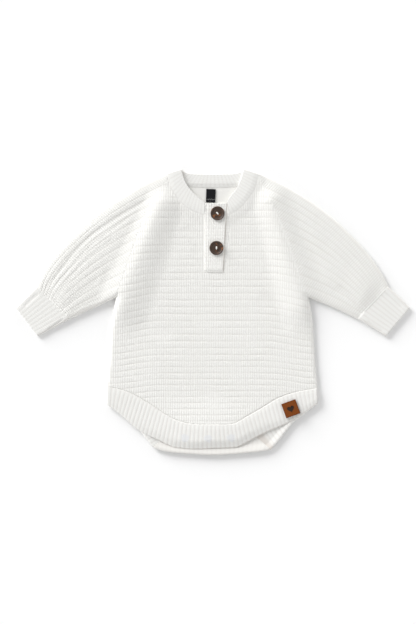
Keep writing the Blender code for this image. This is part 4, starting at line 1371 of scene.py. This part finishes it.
def neck_strip():
    """Rib lines along the strip: seam points, free points, rib counts, turns, and normals at the folds."""
    blocks = []

    def run(lines, ribs, turn):
        seam, free, count = rib_lines(lines, ribs, RIB_SAMPLES)
        blocks.append((seam, free, count, np.full(len(count), turn), np.zeros(seam.shape)))

    def fold(line, first, last):
        way = np.subtract(line[2:], line[:2])
        way = way / np.hypot(*way)
        normal = (-way[1], way[0]) if way[0] > 0 else (way[1], -way[0])
        share = np.arange(1, FOLD_STEPS) / FOLD_STEPS
        seam, free, normal = [np.tile(place, (len(share), 1)) for place in (line[:2], line[2:], normal)]
        blocks.append((seam, free, FOLD_RIBS * share, first + (last - first) * share, normal))

    run(NECK_FRONT_LEFT, NECK_FRONT_RIBS, 0.0)
    fold(SHOULDER_LEFT, 0.0, np.pi)
    run(NECK_BACK, NECK_BACK_RIBS, np.pi)
    fold(SHOULDER_RIGHT, np.pi, 0.0)
    run(NECK_FRONT_RIGHT, NECK_FRONT_RIBS, 0.0)
    return [np.concatenate(parts) for parts in zip(*blocks)]


def neckband():
    """The folded neckband: front left, round the left shoulder, back, right shoulder, front right."""
    seam, free, count, turn, normal = neck_strip()
    plane, from_seam, to_free = across_band(seam, free)
    uv = band_uv(count, from_seam)
    count, turn, normal = count[:, None], turn[:, None], normal[:, None]
    facing = np.clip(np.cos(turn), 0, 1)
    relief = taken_up(rib_relief(count, from_seam, NECK_DEPTH), from_seam)
    groove, dip = RIB * (1 - relief), 1 - soft_step(from_seam, 0, SEAM_SLOPE)
    sag = facing * NECK_SAG * (1 - soft_step(to_free, 0, SAG_WIDTH))
    outside = NECK_OUTER - rounded(to_free, NECK_ROLL, NECK_FALL) - facing * (groove + NECK_DIP * dip) - sag
    inside = NECK_INNER + rounded(to_free, NECK_ROLL, NECK_FALL / 2) - sag
    inside = inside + (1 - facing) * (groove + BACK_DIP * dip)
    outer, inner = [
        with_height(plane + (r * np.sin(turn))[..., None] * normal, NECK_FOLD + r * np.cos(turn))
        for r in (outside, inside)
    ]
    # The grooves' colour is painted shade, from the same ribs at a lower contrast
    colour = taken_up(rib_relief(count, from_seam, NECK_CONTRAST), from_seam)
    made = grid_wall("neck_rib", outer, inner, uv, colour, RIBBED, "neckband", inner_relief=colour)
    # Painted shade on the back half by the left shoulder
    shade = NECK_SHADE * (1 - facing) * (1 - soft_step(plane[..., 0], *SHADE_FROM_TO))
    tint(made, "fold", shade, shade)


neckband()

# %% [markdown]
# ## The placket
# Two narrow strips in a finer ridge stitch close the slot. The upper one is linked along its left side and
# buttoned to the lower one, which shows as a sliver on the right. Each is a straight grid of stitches. The
# upper one has a slipped column along its seam, which is the usual neat edge of such a strip.

# %% Shape of the placket strips
PLACKET_RIDGES, PLACKET_STITCHES = 19, 9
PLACKET_ROWS, PLACKET_COLUMNS = 8, 4  # mesh rows in a ridge and columns in a stitch
UNDERLAP_LOW, UNDERLAP_HIGH = span("placket_underlap", 2)
OVERLAP_LOW = span("placket_overlap", 2)[0]
OVERLAP_WALL, OVERLAP_RIDGE, OVERLAP_CURL = 1.4, 0.4, 0.3  # its thickness, its ridges, and how far it curls
OVERLAP_ROLL, OVERLAP_FALL = 3.0, 0.6  # how the upper strip's free edge rounds off
PLACKET_SHADE = 0.35  # painted shade in the line along the upper strip's free edge, and beside it on the lower strip
UNDERLAP_ROLL, UNDERLAP_FALL = 2.5, 0.5  # how the lower strip comes down to the slot's side
UNDERLAP_FULL, UNDERLAP_RISE = 1.1, 1.0  # how far it swells beside the upper strip, and more at the neck
FULL_FROM_TO = (-1.0, 0.4)  # where it swells, from the upper strip's free edge
RISE_FROM_TO = (112.0, 128.0)  # where the neck begins, up the body
OVERLAP_DIP, FOOT_DIP = 0.45, 1.0  # how far the strip comes down to the seams at its left and its foot
SELVEDGE, SELVEDGE_GROOVE, GROOVE_WIDTH = 2.4, 0.35, 0.5  # the slipped column, and the groove beside it


def placket_plane(strip, rows, shares):
    """Plane points of a placket strip, row by row from its top."""
    levels = np.linspace(strip["up"][0], strip["up"][-1], rows)
    left = smooth(levels, strip["up"], strip["left"])[:, None]
    right = smooth(levels, strip["up"], strip["right"])[:, None]
    return pairs(left + (right - left) * shares, levels[:, None])


def overlap_low(share):
    """Underside of the placket's upper strip, which curls up a little towards its free edge."""
    return OVERLAP_LOW + OVERLAP_CURL * share**2


def overlap_fall(x, up):
    """How far the upper strip's face comes down: at its free edge, its seams, its groove and its foot."""
    across, to_free = x - x[:, :1], x[:, -1:] - x
    fall = rounded(to_free, OVERLAP_ROLL, OVERLAP_FALL) + rounded(across, SEAM_ROLL, SEAM_FALL)
    fall = fall + SELVEDGE_GROOVE * np.exp(-(((across - SELVEDGE) / GROOVE_WIDTH) ** 2))
    below_neck = 1 - soft_step(up, *RISE_FROM_TO)
    fall = fall + OVERLAP_DIP * below_neck * (1 - soft_step(across, 0, SELVEDGE))
    return fall + FOOT_DIP * (1 - soft_step(up - OVERLAP["up"][-1], 0, 2 * SELVEDGE))


print("The placket lies from", round(UNDERLAP_LOW, 2), "to", round(OVERLAP_LOW + OVERLAP_WALL, 2), "mm up")

# %% Placket strips


def placket():
    """The upper strip and the strip under it."""
    shares = np.linspace(0, 1, PLACKET_STITCHES * PLACKET_COLUMNS + 1)
    count = np.linspace(0, PLACKET_RIDGES, PLACKET_RIDGES * PLACKET_ROWS + 1)
    relief = ridge_relief(count[:, None], PLACKET_STITCHES * shares)
    uv = pairs(PLACKET_STITCHES * shares, 2 * count[:, None])
    plane = placket_plane(OVERLAP, len(count), shares)
    x, up = plane[..., 0], plane[..., 1]
    top = overlap_low(shares) + OVERLAP_WALL + OVERLAP_RIDGE * relief - overlap_fall(x, up)
    low = np.minimum(overlap_low(shares), top - OVERLAP_WALL / 2)
    over = plane_wall("placket_over", plane, top, low, uv, relief, KNIT, "placket_overlap")
    # Painted shade in a thin line along the upper strip's free edge
    tint(over, "fold", PLACKET_SHADE * (1 - soft_step(x[:, -1:] - x, *EDGE_LINE)))
    plane = placket_plane(UNDERLAP, len(count), shares)
    x, up = plane[..., 0], plane[..., 1]
    beside = x - smooth(up, OVERLAP["up"], OVERLAP["right"])
    full = UNDERLAP_FULL + UNDERLAP_RISE * soft_step(up, *RISE_FROM_TO)
    top = UNDERLAP_HIGH - OVERLAP_RIDGE * (1 - relief) + full * soft_step(beside, *FULL_FROM_TO)
    top = top - UNDERLAP_FALL * (1 - soft_step(x[:, -1:] - x, 0, UNDERLAP_ROLL))
    under = plane_wall("placket_under", plane, top, UNDERLAP_LOW, uv, relief, KNIT, "placket_underlap")
    # and painted shade on the lower strip beside that edge, where it falls in its shadow
    tint(under, "fold", PLACKET_SHADE * (1 - soft_step(beside, *EDGE_LINE)))


placket()

# %% [markdown]
# ## Buttons
# The buttons are cut from coconut shell and turned on a lathe: a raised rim, a shallow dish, and a fine ring
# around two thread holes. A cylinder is inset and stepped in the same order as the lathe would cut it. The
# holes are then drilled with a Boolean, and a bevel takes the edges off.

# %% Turned pieces
CORNER = 35  # degrees: a bevel takes off sharper edges than this
SMOOTH_ANGLE = 40  # degrees: flatter edges than this are shaded smooth


def cylinder(name, radius, low, high, x, up, sides=64):
    """A cylinder on the axis at x and up, between two heights, all in millimetres."""
    place = (x * MM, up * MM, (low + high) / 2 * MM)
    bpy.ops.mesh.primitive_cylinder_add(
        vertices=sides, radius=radius * MM, depth=(high - low) * MM, location=place
    )
    made = bpy.context.object
    made.name = name
    return made


def inset_faces(made, facing, cuts):
    """Inset the faces that point up (1) or down (-1). Each cut is its width and its rise, in millimetres."""
    select_only(made)
    bpy.ops.object.mode_set(mode="EDIT")
    bpy.ops.mesh.select_mode(type="FACE")
    bpy.ops.mesh.select_all(action="DESELECT")
    bpy.ops.object.mode_set(mode="OBJECT")
    for face in made.data.polygons:
        face.select = face.normal.z * facing > 0.99
    bpy.ops.object.mode_set(mode="EDIT")
    for width, rise in cuts:
        bpy.ops.mesh.inset(thickness=width * MM, depth=rise * MM)
    bpy.ops.object.mode_set(mode="OBJECT")


def apply_modifier(made, kind, **settings):
    select_only(made)
    modifier = made.modifiers.new(kind.lower(), kind)
    for key, value in settings.items():
        setattr(modifier, key, value)
    bpy.ops.object.modifier_apply(modifier=modifier.name)


def bevel(made, width, segments=2):
    """Take the sharp edges off, over a width in millimetres."""
    limit = {"limit_method": "ANGLE", "angle_limit": np.radians(CORNER)}
    apply_modifier(made, "BEVEL", width=width * MM, segments=segments, **limit)


def cut_out(made, tool):
    """Take a tool's shape out of a piece, and the tool away."""
    apply_modifier(made, "BOOLEAN", operation="DIFFERENCE", object=tool, solver="EXACT")
    bpy.data.objects.remove(tool)


def finish_trim(made, material, solid):
    """Lay a trim's place into its mesh and give it its material, its solid and its body."""
    select_only(made)
    bpy.ops.object.transform_apply(location=True, rotation=True, scale=True)
    bpy.ops.object.shade_smooth_by_angle(angle=np.radians(SMOOTH_ANGLE))
    if not made.data.materials:
        made.data.materials.append(material)
    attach(made, "root")
    if solid:
        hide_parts(solid)
    made.select_set(False)
    return made


# %% Material of the shell
SHELL_DARK, SHELL_MID, SHELL_STREAK = (0.028, 0.017, 0.012), (0.085, 0.050, 0.034), (0.30, 0.11, 0.035)
STREAK_FROM, STREAK_TO, STREAK_SHARE = 0.60, 0.72, 0.7  # where the noise turns to a streak, and how much
THREAD_COLOUR = (0.86, 0.85, 0.80)


def coconut():
    material, shader = new_material(
        "coconut_shell", 0.5, Specular_IOR_Level=0.3, Coat_Weight=0.15, Coat_Roughness=0.3
    )
    mottle = noise(material, 420.0, 4.0)
    base = mix(material, mottle, SHELL_DARK, SHELL_MID)
    streak = {0: noise(material, 210.0, 1.0), 1: STREAK_FROM, 2: STREAK_TO, 4: STREAK_SHARE}
    streak = node(material, "ShaderNodeMapRange", streak).outputs[0]
    colour = mix(material, streak, base, SHELL_STREAK)
    feed(material, shader, Base_Color=colour, Normal=bump(material, mottle, 0.2, 0.2))
    return material


def thread_material():
    material, shader = new_material("rib_knit", 0.8, Sheen_Weight=0.2)
    material.name = "sewing_thread"
    shader.inputs["Base Color"].default_value = (*THREAD_COLOUR, 1)
    waves = {"Vector": own_space(material), "Scale": 900.0, "Distortion": 2.0}
    ply = node(material, "ShaderNodeTexWave", waves)
    feed(material, shader, Normal=bump(material, ply.outputs["Fac"], 0.4, 0.1))
    return material


COCONUT, THREAD = coconut(), thread_material()
print("The shell's colours run from", SHELL_DARK, "to", SHELL_STREAK)

# %% [markdown]
# ## Thread
# Sewing thread is round, so each stitch is a short tube along a curved line, with rounded ends. It is drawn
# in mesh code, since a stitch bends in a way that no primitive does.

# %% Strands of thread
STRAND_SIDES = 8
STRAND_ENDS = (0.04, 0.96)  # where a strand starts and ends on the half wave that tapers it
ASIDE = (0.31, 0.17, 0.94)  # a direction that no stitch runs in, to measure its sides from


def strands(name, paths, radius, material, solid=None):
    """Tubes along paths of points in millimetres, as one piece."""
    points, faces = [], []
    for path in paths:
        path = np.asarray(path, float)
        run = np.gradient(path, axis=0)
        run /= np.linalg.norm(run, axis=1)[:, None]
        side = np.cross(run, ASIDE)
        side /= np.linalg.norm(side, axis=1)[:, None]
        over = np.cross(side, run)
        taper = np.sqrt(np.clip(np.sin(np.pi * np.linspace(*STRAND_ENDS, len(path))), 0, 1)) ** 0.5
        start = len(points)
        for k, centre in enumerate(path):
            for angle in np.arange(STRAND_SIDES) * 2 * np.pi / STRAND_SIDES:
                way = side[k] * np.cos(angle) + over[k] * np.sin(angle)
                points.append(centre + radius * taper[k] * way)
        for k in range(len(path) - 1):
            low, high = start + k * STRAND_SIDES, start + (k + 1) * STRAND_SIDES
            for j in range(STRAND_SIDES):
                nxt = (j + 1) % STRAND_SIDES
                faces.append([low + j, low + nxt, high + nxt, high + j])
        last = start + (len(path) - 1) * STRAND_SIDES
        faces.append([start + j for j in range(STRAND_SIDES)][::-1])
        faces.append([last + j for j in range(STRAND_SIDES)])
    return finish_trim(closed_mesh(name, points, faces), material, solid)


# %% Turned button
# Width and rise of each cut, in the order in which the lathe makes them
RIM_CUTS = ((0.5, 0.3), (0.7, 0.0), (0.9, -0.75), (1.5, -0.1), (0.25, -0.25), (0.4, 0.0), (0.25, 0.25))
FOOT_CUTS = ((1.2, 0.5), (0.6, 0.1))
HOLE, HOLE_OFFSET = 0.85, 1.45  # a hole's radius, and its distance from the middle
RIM_ROOM = 0.3  # how far the rim stands up past the blank
DRILL_ROOM = 2.0  # how far the drill goes past the blank


def turned_button(radius, thick):
    """One button at the middle of the scene, with its foot at height 0 and its holes one above the other."""
    made = cylinder("button_pattern", radius, 0, thick, 0, 0)
    inset_faces(made, 1, RIM_CUTS)
    inset_faces(made, -1, FOOT_CUTS)
    for side in (-1, 1):
        drill = cylinder("drill", HOLE, -DRILL_ROOM, thick + DRILL_ROOM, 0, side * HOLE_OFFSET, sides=24)
        cut_out(made, drill)
    bevel(made, 0.12)
    bpy.ops.object.transform_apply(location=True, rotation=True, scale=True)
    return made


button_size = [high - low for low, high in (span("button_top", axis) for axis in (0, 2))]
button_pattern = turned_button(button_size[0] / 2, button_size[1] - RIM_ROOM)
print("A button is cut from a blank", [round(size, 2) for size in button_size], "mm wide and high")

# %% Buttons and their thread
THREAD_PITCH, THREAD_RADIUS, THREAD_ARCH = 0.55, 0.38, 0.55  # apart, thick, and up over the ring
THREAD_POINTS, THREAD_PAST = 15, 0.35  # points along a strand, and how far it goes past the holes' middles
THREAD_DROP, DROP_FROM = 1.2, 0.93  # how far its ends drop into the holes, and from which share of it
BUTTON_SINK = 1.3  # how far the thread pulls a button into the knit
BUTTON_FACE = 2.15  # height of the ring round the holes, over the foot
BUTTON_TURNS = {"button_top": 128.0, "button_bottom": 90.0}  # degrees of the line through the holes


def sewn_button(pattern, solid):
    """A copy of the button in its place, and the thread through its holes."""
    x, up = middle(solid)
    foot, turn = span(solid, 2)[0] - BUTTON_SINK, np.radians(BUTTON_TURNS[solid])
    made = pattern.copy()
    made.data = pattern.data.copy()
    made.name = solid.replace("button", "coconut_button")
    bpy.context.scene.collection.objects.link(made)
    made.location = (x * MM, up * MM, foot * MM)
    made.rotation_euler.z = turn - np.pi / 2
    finish_trim(made, COCONUT, solid)
    print(f"{made.name}: {made.dimensions.x / MM:.2f} mm wide and {made.dimensions.z / MM:.2f} mm high")
    along = np.array((np.cos(turn), np.sin(turn)))
    across = np.array((-along[1], along[0]))
    swing = np.linspace(-1, 1, THREAD_POINTS)
    height = foot + BUTTON_FACE + THREAD_ARCH * np.sqrt(np.clip(1 - swing**4, 0, 1))
    height = height - THREAD_DROP * (np.abs(swing) > DROP_FROM)
    reach = (x, up) + np.outer(swing * (HOLE_OFFSET + THREAD_PAST), along)
    paths = [
        np.column_stack([reach + step * across, height])
        for step in (-THREAD_PITCH, 0.0, THREAD_PITCH)
    ]
    strands(solid.replace("button", "button_thread"), paths, THREAD_RADIUS, THREAD)
    return made


buttons = [sewn_button(button_pattern, solid) for solid in BUTTON_TURNS]
bpy.data.objects.remove(button_pattern)
print("Buttons:", [made.name for made in buttons])

# %% [markdown]
# ## Snaps
# Three snaps close the crotch between the two bands. They don't show from above, but a low view reaches
# their edges, so each is turned as it is: a socket and a stud with a narrow neck where they hold each other.

# %% Snaps
SNAP_METAL = (0.62, 0.65, 0.70)
SNAP_HALF = 0.8  # height of the socket and of the stud, as a share of half the snap's
NECK_FROM, NECK_RADIUS = 0.6, 1.6  # where the neck between them starts, as such a share, and its radius


def snap_metal():
    material, shader = new_material("snap_metal", 0.32, metallic=1.0)
    rough = node(material, "ShaderNodeMapRange", {0: noise(material, 900.0, 3.0), 3: 0.25, 4: 0.45})
    feed(material, shader, Roughness=rough.outputs[0])
    shader.inputs["Base Color"].default_value = (*SNAP_METAL, 1)
    return material


def snap(solid, metal):
    """A socket and a stud, each turned from a disc, and the neck that holds them together."""
    x, up = middle(solid)
    low, high = span(solid, 2)
    radius = (span(solid, 0)[1] - span(solid, 0)[0]) / 2
    half = (high - low) / 2
    pieces = []
    for facing, bottom, top in ((1, low, low + SNAP_HALF * half), (-1, high - SNAP_HALF * half, high)):
        disc = cylinder(solid, radius, bottom, top, x, up, sides=48)
        inset_faces(disc, facing, ((0.5, -0.12 * half), (0.9, 0.0), (0.5, 0.25 * half)))
        inset_faces(disc, -facing, ((0.6, 0.0), (0.4, -0.05 * half)))
        bevel(disc, 0.1)
        pieces.append(disc)
    neck = cylinder(solid, NECK_RADIUS, low + NECK_FROM * half, high - NECK_FROM * half, x, up, sides=32)
    bpy.ops.object.select_all(action="DESELECT")
    for piece in (*pieces, neck):
        piece.select_set(True)
    bpy.context.view_layer.objects.active = pieces[0]
    bpy.ops.object.join()
    made = bpy.context.object
    made.name = solid.replace("snap", "snap_pair")
    return finish_trim(made, metal, solid)


METAL = snap_metal()
snaps = [snap(solid, METAL) for solid in SNAPS]
print("Snaps:", [made.name for made in snaps])

# %% [markdown]
# ## Leather patch
# A small square of brown leather is sewn to the leg band. Its edges are burnished darker, and a plain heart
# is pressed into it. The heart is a closed prism in the heart's outline, which a Boolean presses in.

# %% Material of the leather
LEATHER_TAN, LEATHER_DARK = (0.215, 0.058, 0.009), (0.115, 0.027, 0.005)
BURNT_DARK, BURNT_LIGHT = (0.012, 0.009, 0.008), (0.05, 0.025, 0.014)


def leather():
    material, shader = new_material("leather", 0.55, Specular_IOR_Level=0.15)
    clouds = maths(material, "MULTIPLY", noise(material, 260.0, 5.0), 0.55)
    dark = maths(material, "MAXIMUM", clouds, point_value(material, "rim"))
    cells_of = {"Vector": own_space(material), "Scale": 2600.0}
    pores = node(material, "ShaderNodeTexVoronoi", cells_of).outputs["Distance"]
    colour = mix(material, dark, LEATHER_TAN, LEATHER_DARK)
    feed(material, shader, Base_Color=colour, Normal=bump(material, pores, 0.3, 0.1))
    return material


def burnt():
    material, shader = new_material("leather", 0.6, Specular_IOR_Level=0.2)
    material.name = "burnt_leather"
    feed(material, shader, Base_Color=mix(material, noise(material, 900.0), BURNT_DARK, BURNT_LIGHT))
    return material


LEATHER, BURNT = leather(), burnt()
print("The leather is", LEATHER_TAN, "in the middle and", LEATHER_DARK, "at its edges")

# %% Patch
PATCH_SIDE, PATCH_TURN = 19.5, 20.0  # millimetres and degrees
PATCH_CORNERS, RIM_INSETS = 0.35, ((0.7, 0.0), (0.5, 0.0))  # its rounding, and rings of faces for its rim
RIM_FROM_TO = (0.3, 1.5)  # distance from the edge over which the burnish fades
HEART_WIDE, HEART_DEEP, HEART_DOWN = 9.4, 0.35, 0.2  # and how far below the patch's middle it is
PRESSED = 0.01  # a face this near to the heart's floor is part of it


def turned(points, degrees):
    """Plane points turned against the clock."""
    turn = np.radians(degrees)
    return points @ np.array([[np.cos(turn), np.sin(turn)], [-np.sin(turn), np.cos(turn)]])


def heart_prism(x, up, low, high):
    """A closed prism in a heart's outline, to press into the leather."""
    t = np.linspace(0, 2 * np.pi, 65)[:-1]
    across = 16 * np.sin(t) ** 3
    along = 13 * np.cos(t) - 5 * np.cos(2 * t) - 2 * np.cos(3 * t) - np.cos(4 * t)
    outline = turned(np.column_stack([across, along]) * HEART_WIDE / 32, PATCH_TURN) + (x, up)
    n = len(outline)
    points = [(*place, height) for height in (low, high) for place in outline]
    faces = [list(range(n)), list(range(n, 2 * n))[::-1]]
    faces += [[k, k + n, (k + 1) % n + n, (k + 1) % n] for k in range(n)]
    return closed_mesh("heart", points, faces)


def patch_piece():
    solid = "leather_patch"
    x, up = middle(solid)
    low, high = span(solid, 2)
    bpy.ops.mesh.primitive_cube_add(size=1, location=(x * MM, up * MM, (low + high) / 2 * MM))
    made = bpy.context.object
    made.name = "patch_leather"
    made.scale = (PATCH_SIDE * MM, PATCH_SIDE * MM, (high - low) * MM)
    made.rotation_euler.z = np.radians(PATCH_TURN)
    select_only(made)
    bpy.ops.object.transform_apply(location=False, rotation=False, scale=True)
    bevel(made, PATCH_CORNERS, 3)
    inset_faces(made, 1, RIM_INSETS)
    bpy.ops.object.transform_apply(location=True, rotation=True, scale=False)
    cut_out(made, heart_prism(x, up - HEART_DOWN, high - HEART_DEEP, high + 1))
    places = np.array([v.co for v in made.data.vertices]) / MM
    from_edge = PATCH_SIDE / 2 - np.abs(turned(places[:, :2] - (x, up), -PATCH_TURN)).max(axis=1)
    add_value(made, "rim", 1 - soft_step(from_edge, *RIM_FROM_TO))
    made.data.materials.append(LEATHER)
    made.data.materials.append(BURNT)
    for face in made.data.polygons:
        pressed = abs(face.center.z / MM - (high - HEART_DEEP)) < PRESSED and face.normal.z > 0.9
        face.material_index = int(pressed)
    return finish_trim(made, LEATHER, solid)


patch_made = patch_piece()
print("The patch has", len(patch_made.data.polygons), "faces, with the heart pressed into it")

# %% [markdown]
# ## Neck label
# The label is a short piece of black woven tape, sewn in below the back neckband. It is left bare, with a
# plain pale zigzag woven along its lower end.

# %% Label
LABEL_SIZE, LABEL_TURN = (12.2, 17.4), -2.0
WARP, WEFT = 0.42, 0.55  # widths of the tape's threads
WEAVE_LOW, WEAVE_DEPTH = 0.6, 0.12  # relief where a thread goes under, and its height
LABEL_BLACK, LABEL_PALE = (0.010, 0.010, 0.012), (0.60, 0.60, 0.58)
ZIGZAG_UP, ZIGZAG_HIGH = 3.2, 1.5  # place and height of the zigzag, from the tape's lower end
LINE_EDGE, LINE_SHARE = (0.18, 0.32), 0.55  # where its line fades out, and how pale it is
CURL_FROM, CURL_END, CURL_SIDES = 3.0, 0.5, 0.25  # where the lower end curls up, how far, and the sides


def label_material():
    material, shader = new_material("woven_label", 0.8, Specular_IOR_Level=0.12)
    u, v = node(material, "ShaderNodeSeparateXYZ", {0: stitch_space(material)}).outputs[:2]
    wave = maths(material, "PINGPONG", u, ZIGZAG_HIGH)
    line = maths(material, "SUBTRACT", maths(material, "SUBTRACT", v, ZIGZAG_UP), wave)
    line = {0: maths(material, "ABSOLUTE", line), 1: LINE_EDGE[1], 2: LINE_EDGE[0], 4: LINE_SHARE}
    pale = node(material, "ShaderNodeMapRange", line).outputs[0]
    share = maths(material, "MULTIPLY", pale, point_value(material, "relief"))
    feed(material, shader, Base_Color=mix(material, share, LABEL_BLACK, LABEL_PALE))
    return material


def label():
    """The tape, as a grid of its own threads."""
    low, high = span("neck_label", 2)
    across, along = [
        np.linspace(-0.5, 0.5, int(size / thread) * 2 + 1) * size
        for size, thread in zip(LABEL_SIZE, (WARP, WEFT))
    ]
    v, u = np.meshgrid(along, across, indexing="ij")
    plane = turned(pairs(u, v), LABEL_TURN) + middle("neck_label")
    over = (np.round(u / WARP).astype(int) + np.round(v / WEFT).astype(int)) % 2
    weave = np.where(over, 1.0, WEAVE_LOW)
    curl = CURL_END * soft_step(-v, CURL_FROM, LABEL_SIZE[1] / 2) + CURL_SIDES * (u / LABEL_SIZE[0]) ** 2
    top = high - WEAVE_DEPTH * (1 - weave) + curl
    uv = pairs(u, v + LABEL_SIZE[1] / 2)
    plane_wall("label_tape", plane, top, low + curl, uv, weave, label_material(), "neck_label")


label()

# %% [markdown]
# ## The surface it lies on
# The romper lies on white paper, which is wide enough to have no edge in any view. It is a plain plane, a
# fraction of a millimetre below the cloth, so the two never share a face.

# %% Floor
FLOOR_DOWN = 0.2
PAPER = (0.93, 0.93, 0.93)
bpy.ops.mesh.primitive_plane_add(size=6, location=(0, 0, -FLOOR_DOWN * MM))
floor = bpy.context.object
floor.name = "floor"
paper, paper_shader = new_material("paper", 0.9)
paper_shader.inputs["Base Color"].default_value = (*PAPER, 1)
floor.data.materials.append(paper)
print("The floor is", floor.dimensions.x, "m wide")

# %% [markdown]
# ## Light
# White knitting needs light from one side, or its ridges vanish, and plenty from all round, or its grooves
# go black. The sky does the second: it is brighter near the horizon, as walls are in a white room.

# %% Sky
SKY_ZENITH, SKY_HORIZON = 0.4, 1.9  # strength overhead, and how much more there is at the horizon
world = bpy.data.worlds.new("studio")
world.use_nodes = True
background = world.node_tree.nodes["Background"]
direction = node(world, "ShaderNodeTexCoord").outputs["Generated"]
upward = node(world, "ShaderNodeSeparateXYZ", {0: direction}).outputs["Z"]
low_share = maths(world, "POWER", maths(world, "SUBTRACT", 1.0, maths(world, "MAXIMUM", upward, 0.0)), 2.0)
strength = maths(world, "ADD", maths(world, "MULTIPLY", low_share, SKY_HORIZON), SKY_ZENITH)
feed(world, background, Strength=strength)
background.inputs["Color"].default_value = (1, 1, 1, 1)
bpy.context.scene.world = world
print("The sky goes from", SKY_ZENITH, "overhead to", SKY_ZENITH + SKY_HORIZON, "at the horizon")

# %% [markdown]
# A low lamp does the first. A sun lamp with a wide angle is a softbox far away: its light is soft, and falls
# evenly on the whole floor. It comes from between the left and the top, across the ridges and the folds.

# %% Softbox
LIGHT_AZIMUTH, LIGHT_HEIGHT, LIGHT_SPREAD = 46.0, 18.0, 30.0  # degrees: from the left to the top, up, across
LIGHT_STRENGTH = 3.8
azimuth, height = np.radians((180 - LIGHT_AZIMUTH, LIGHT_HEIGHT))
toward = Vector((np.cos(azimuth) * np.cos(height), np.sin(azimuth) * np.cos(height), np.sin(height)))
bpy.ops.object.light_add(type="SUN", location=toward * 2, rotation=toward.to_track_quat("Z", "Y").to_euler())
softbox = bpy.context.object
softbox.name = "softbox"
softbox.data.angle = np.radians(LIGHT_SPREAD)
softbox.data.energy = LIGHT_STRENGTH
bpy.context.scene.view_settings.view_transform = "Standard"
print("The lamp points along", [round(-part, 2) for part in toward])

# %% [markdown]
# ## Camera
# A long lens from far above keeps the outline as it would be cut: a short lens would widen the middle and
# lean the thick parts outwards. Its distance is worked out from the height of the render.

# %% Camera
PIXEL = 1.3  # millimetres of the romper in a pixel of the render
LENS, SENSOR = 200.0, 36.0
FRAME_HIGH = 624  # height of the render in pixels
AIM = (-6.2, -0.3)  # middle of the render, in millimetres
distance = FRAME_HIGH * PIXEL * LENS / SENSOR * MM
bpy.ops.object.camera_add(location=(AIM[0] * MM, AIM[1] * MM, distance), rotation=(0, 0, 0))
camera = bpy.context.object
camera.name = "camera"
camera.data.sensor_fit = "VERTICAL"
camera.data.sensor_height = SENSOR
camera.data.lens = LENS
bpy.context.scene.camera = camera
print("The camera is", round(distance, 2), "m up")
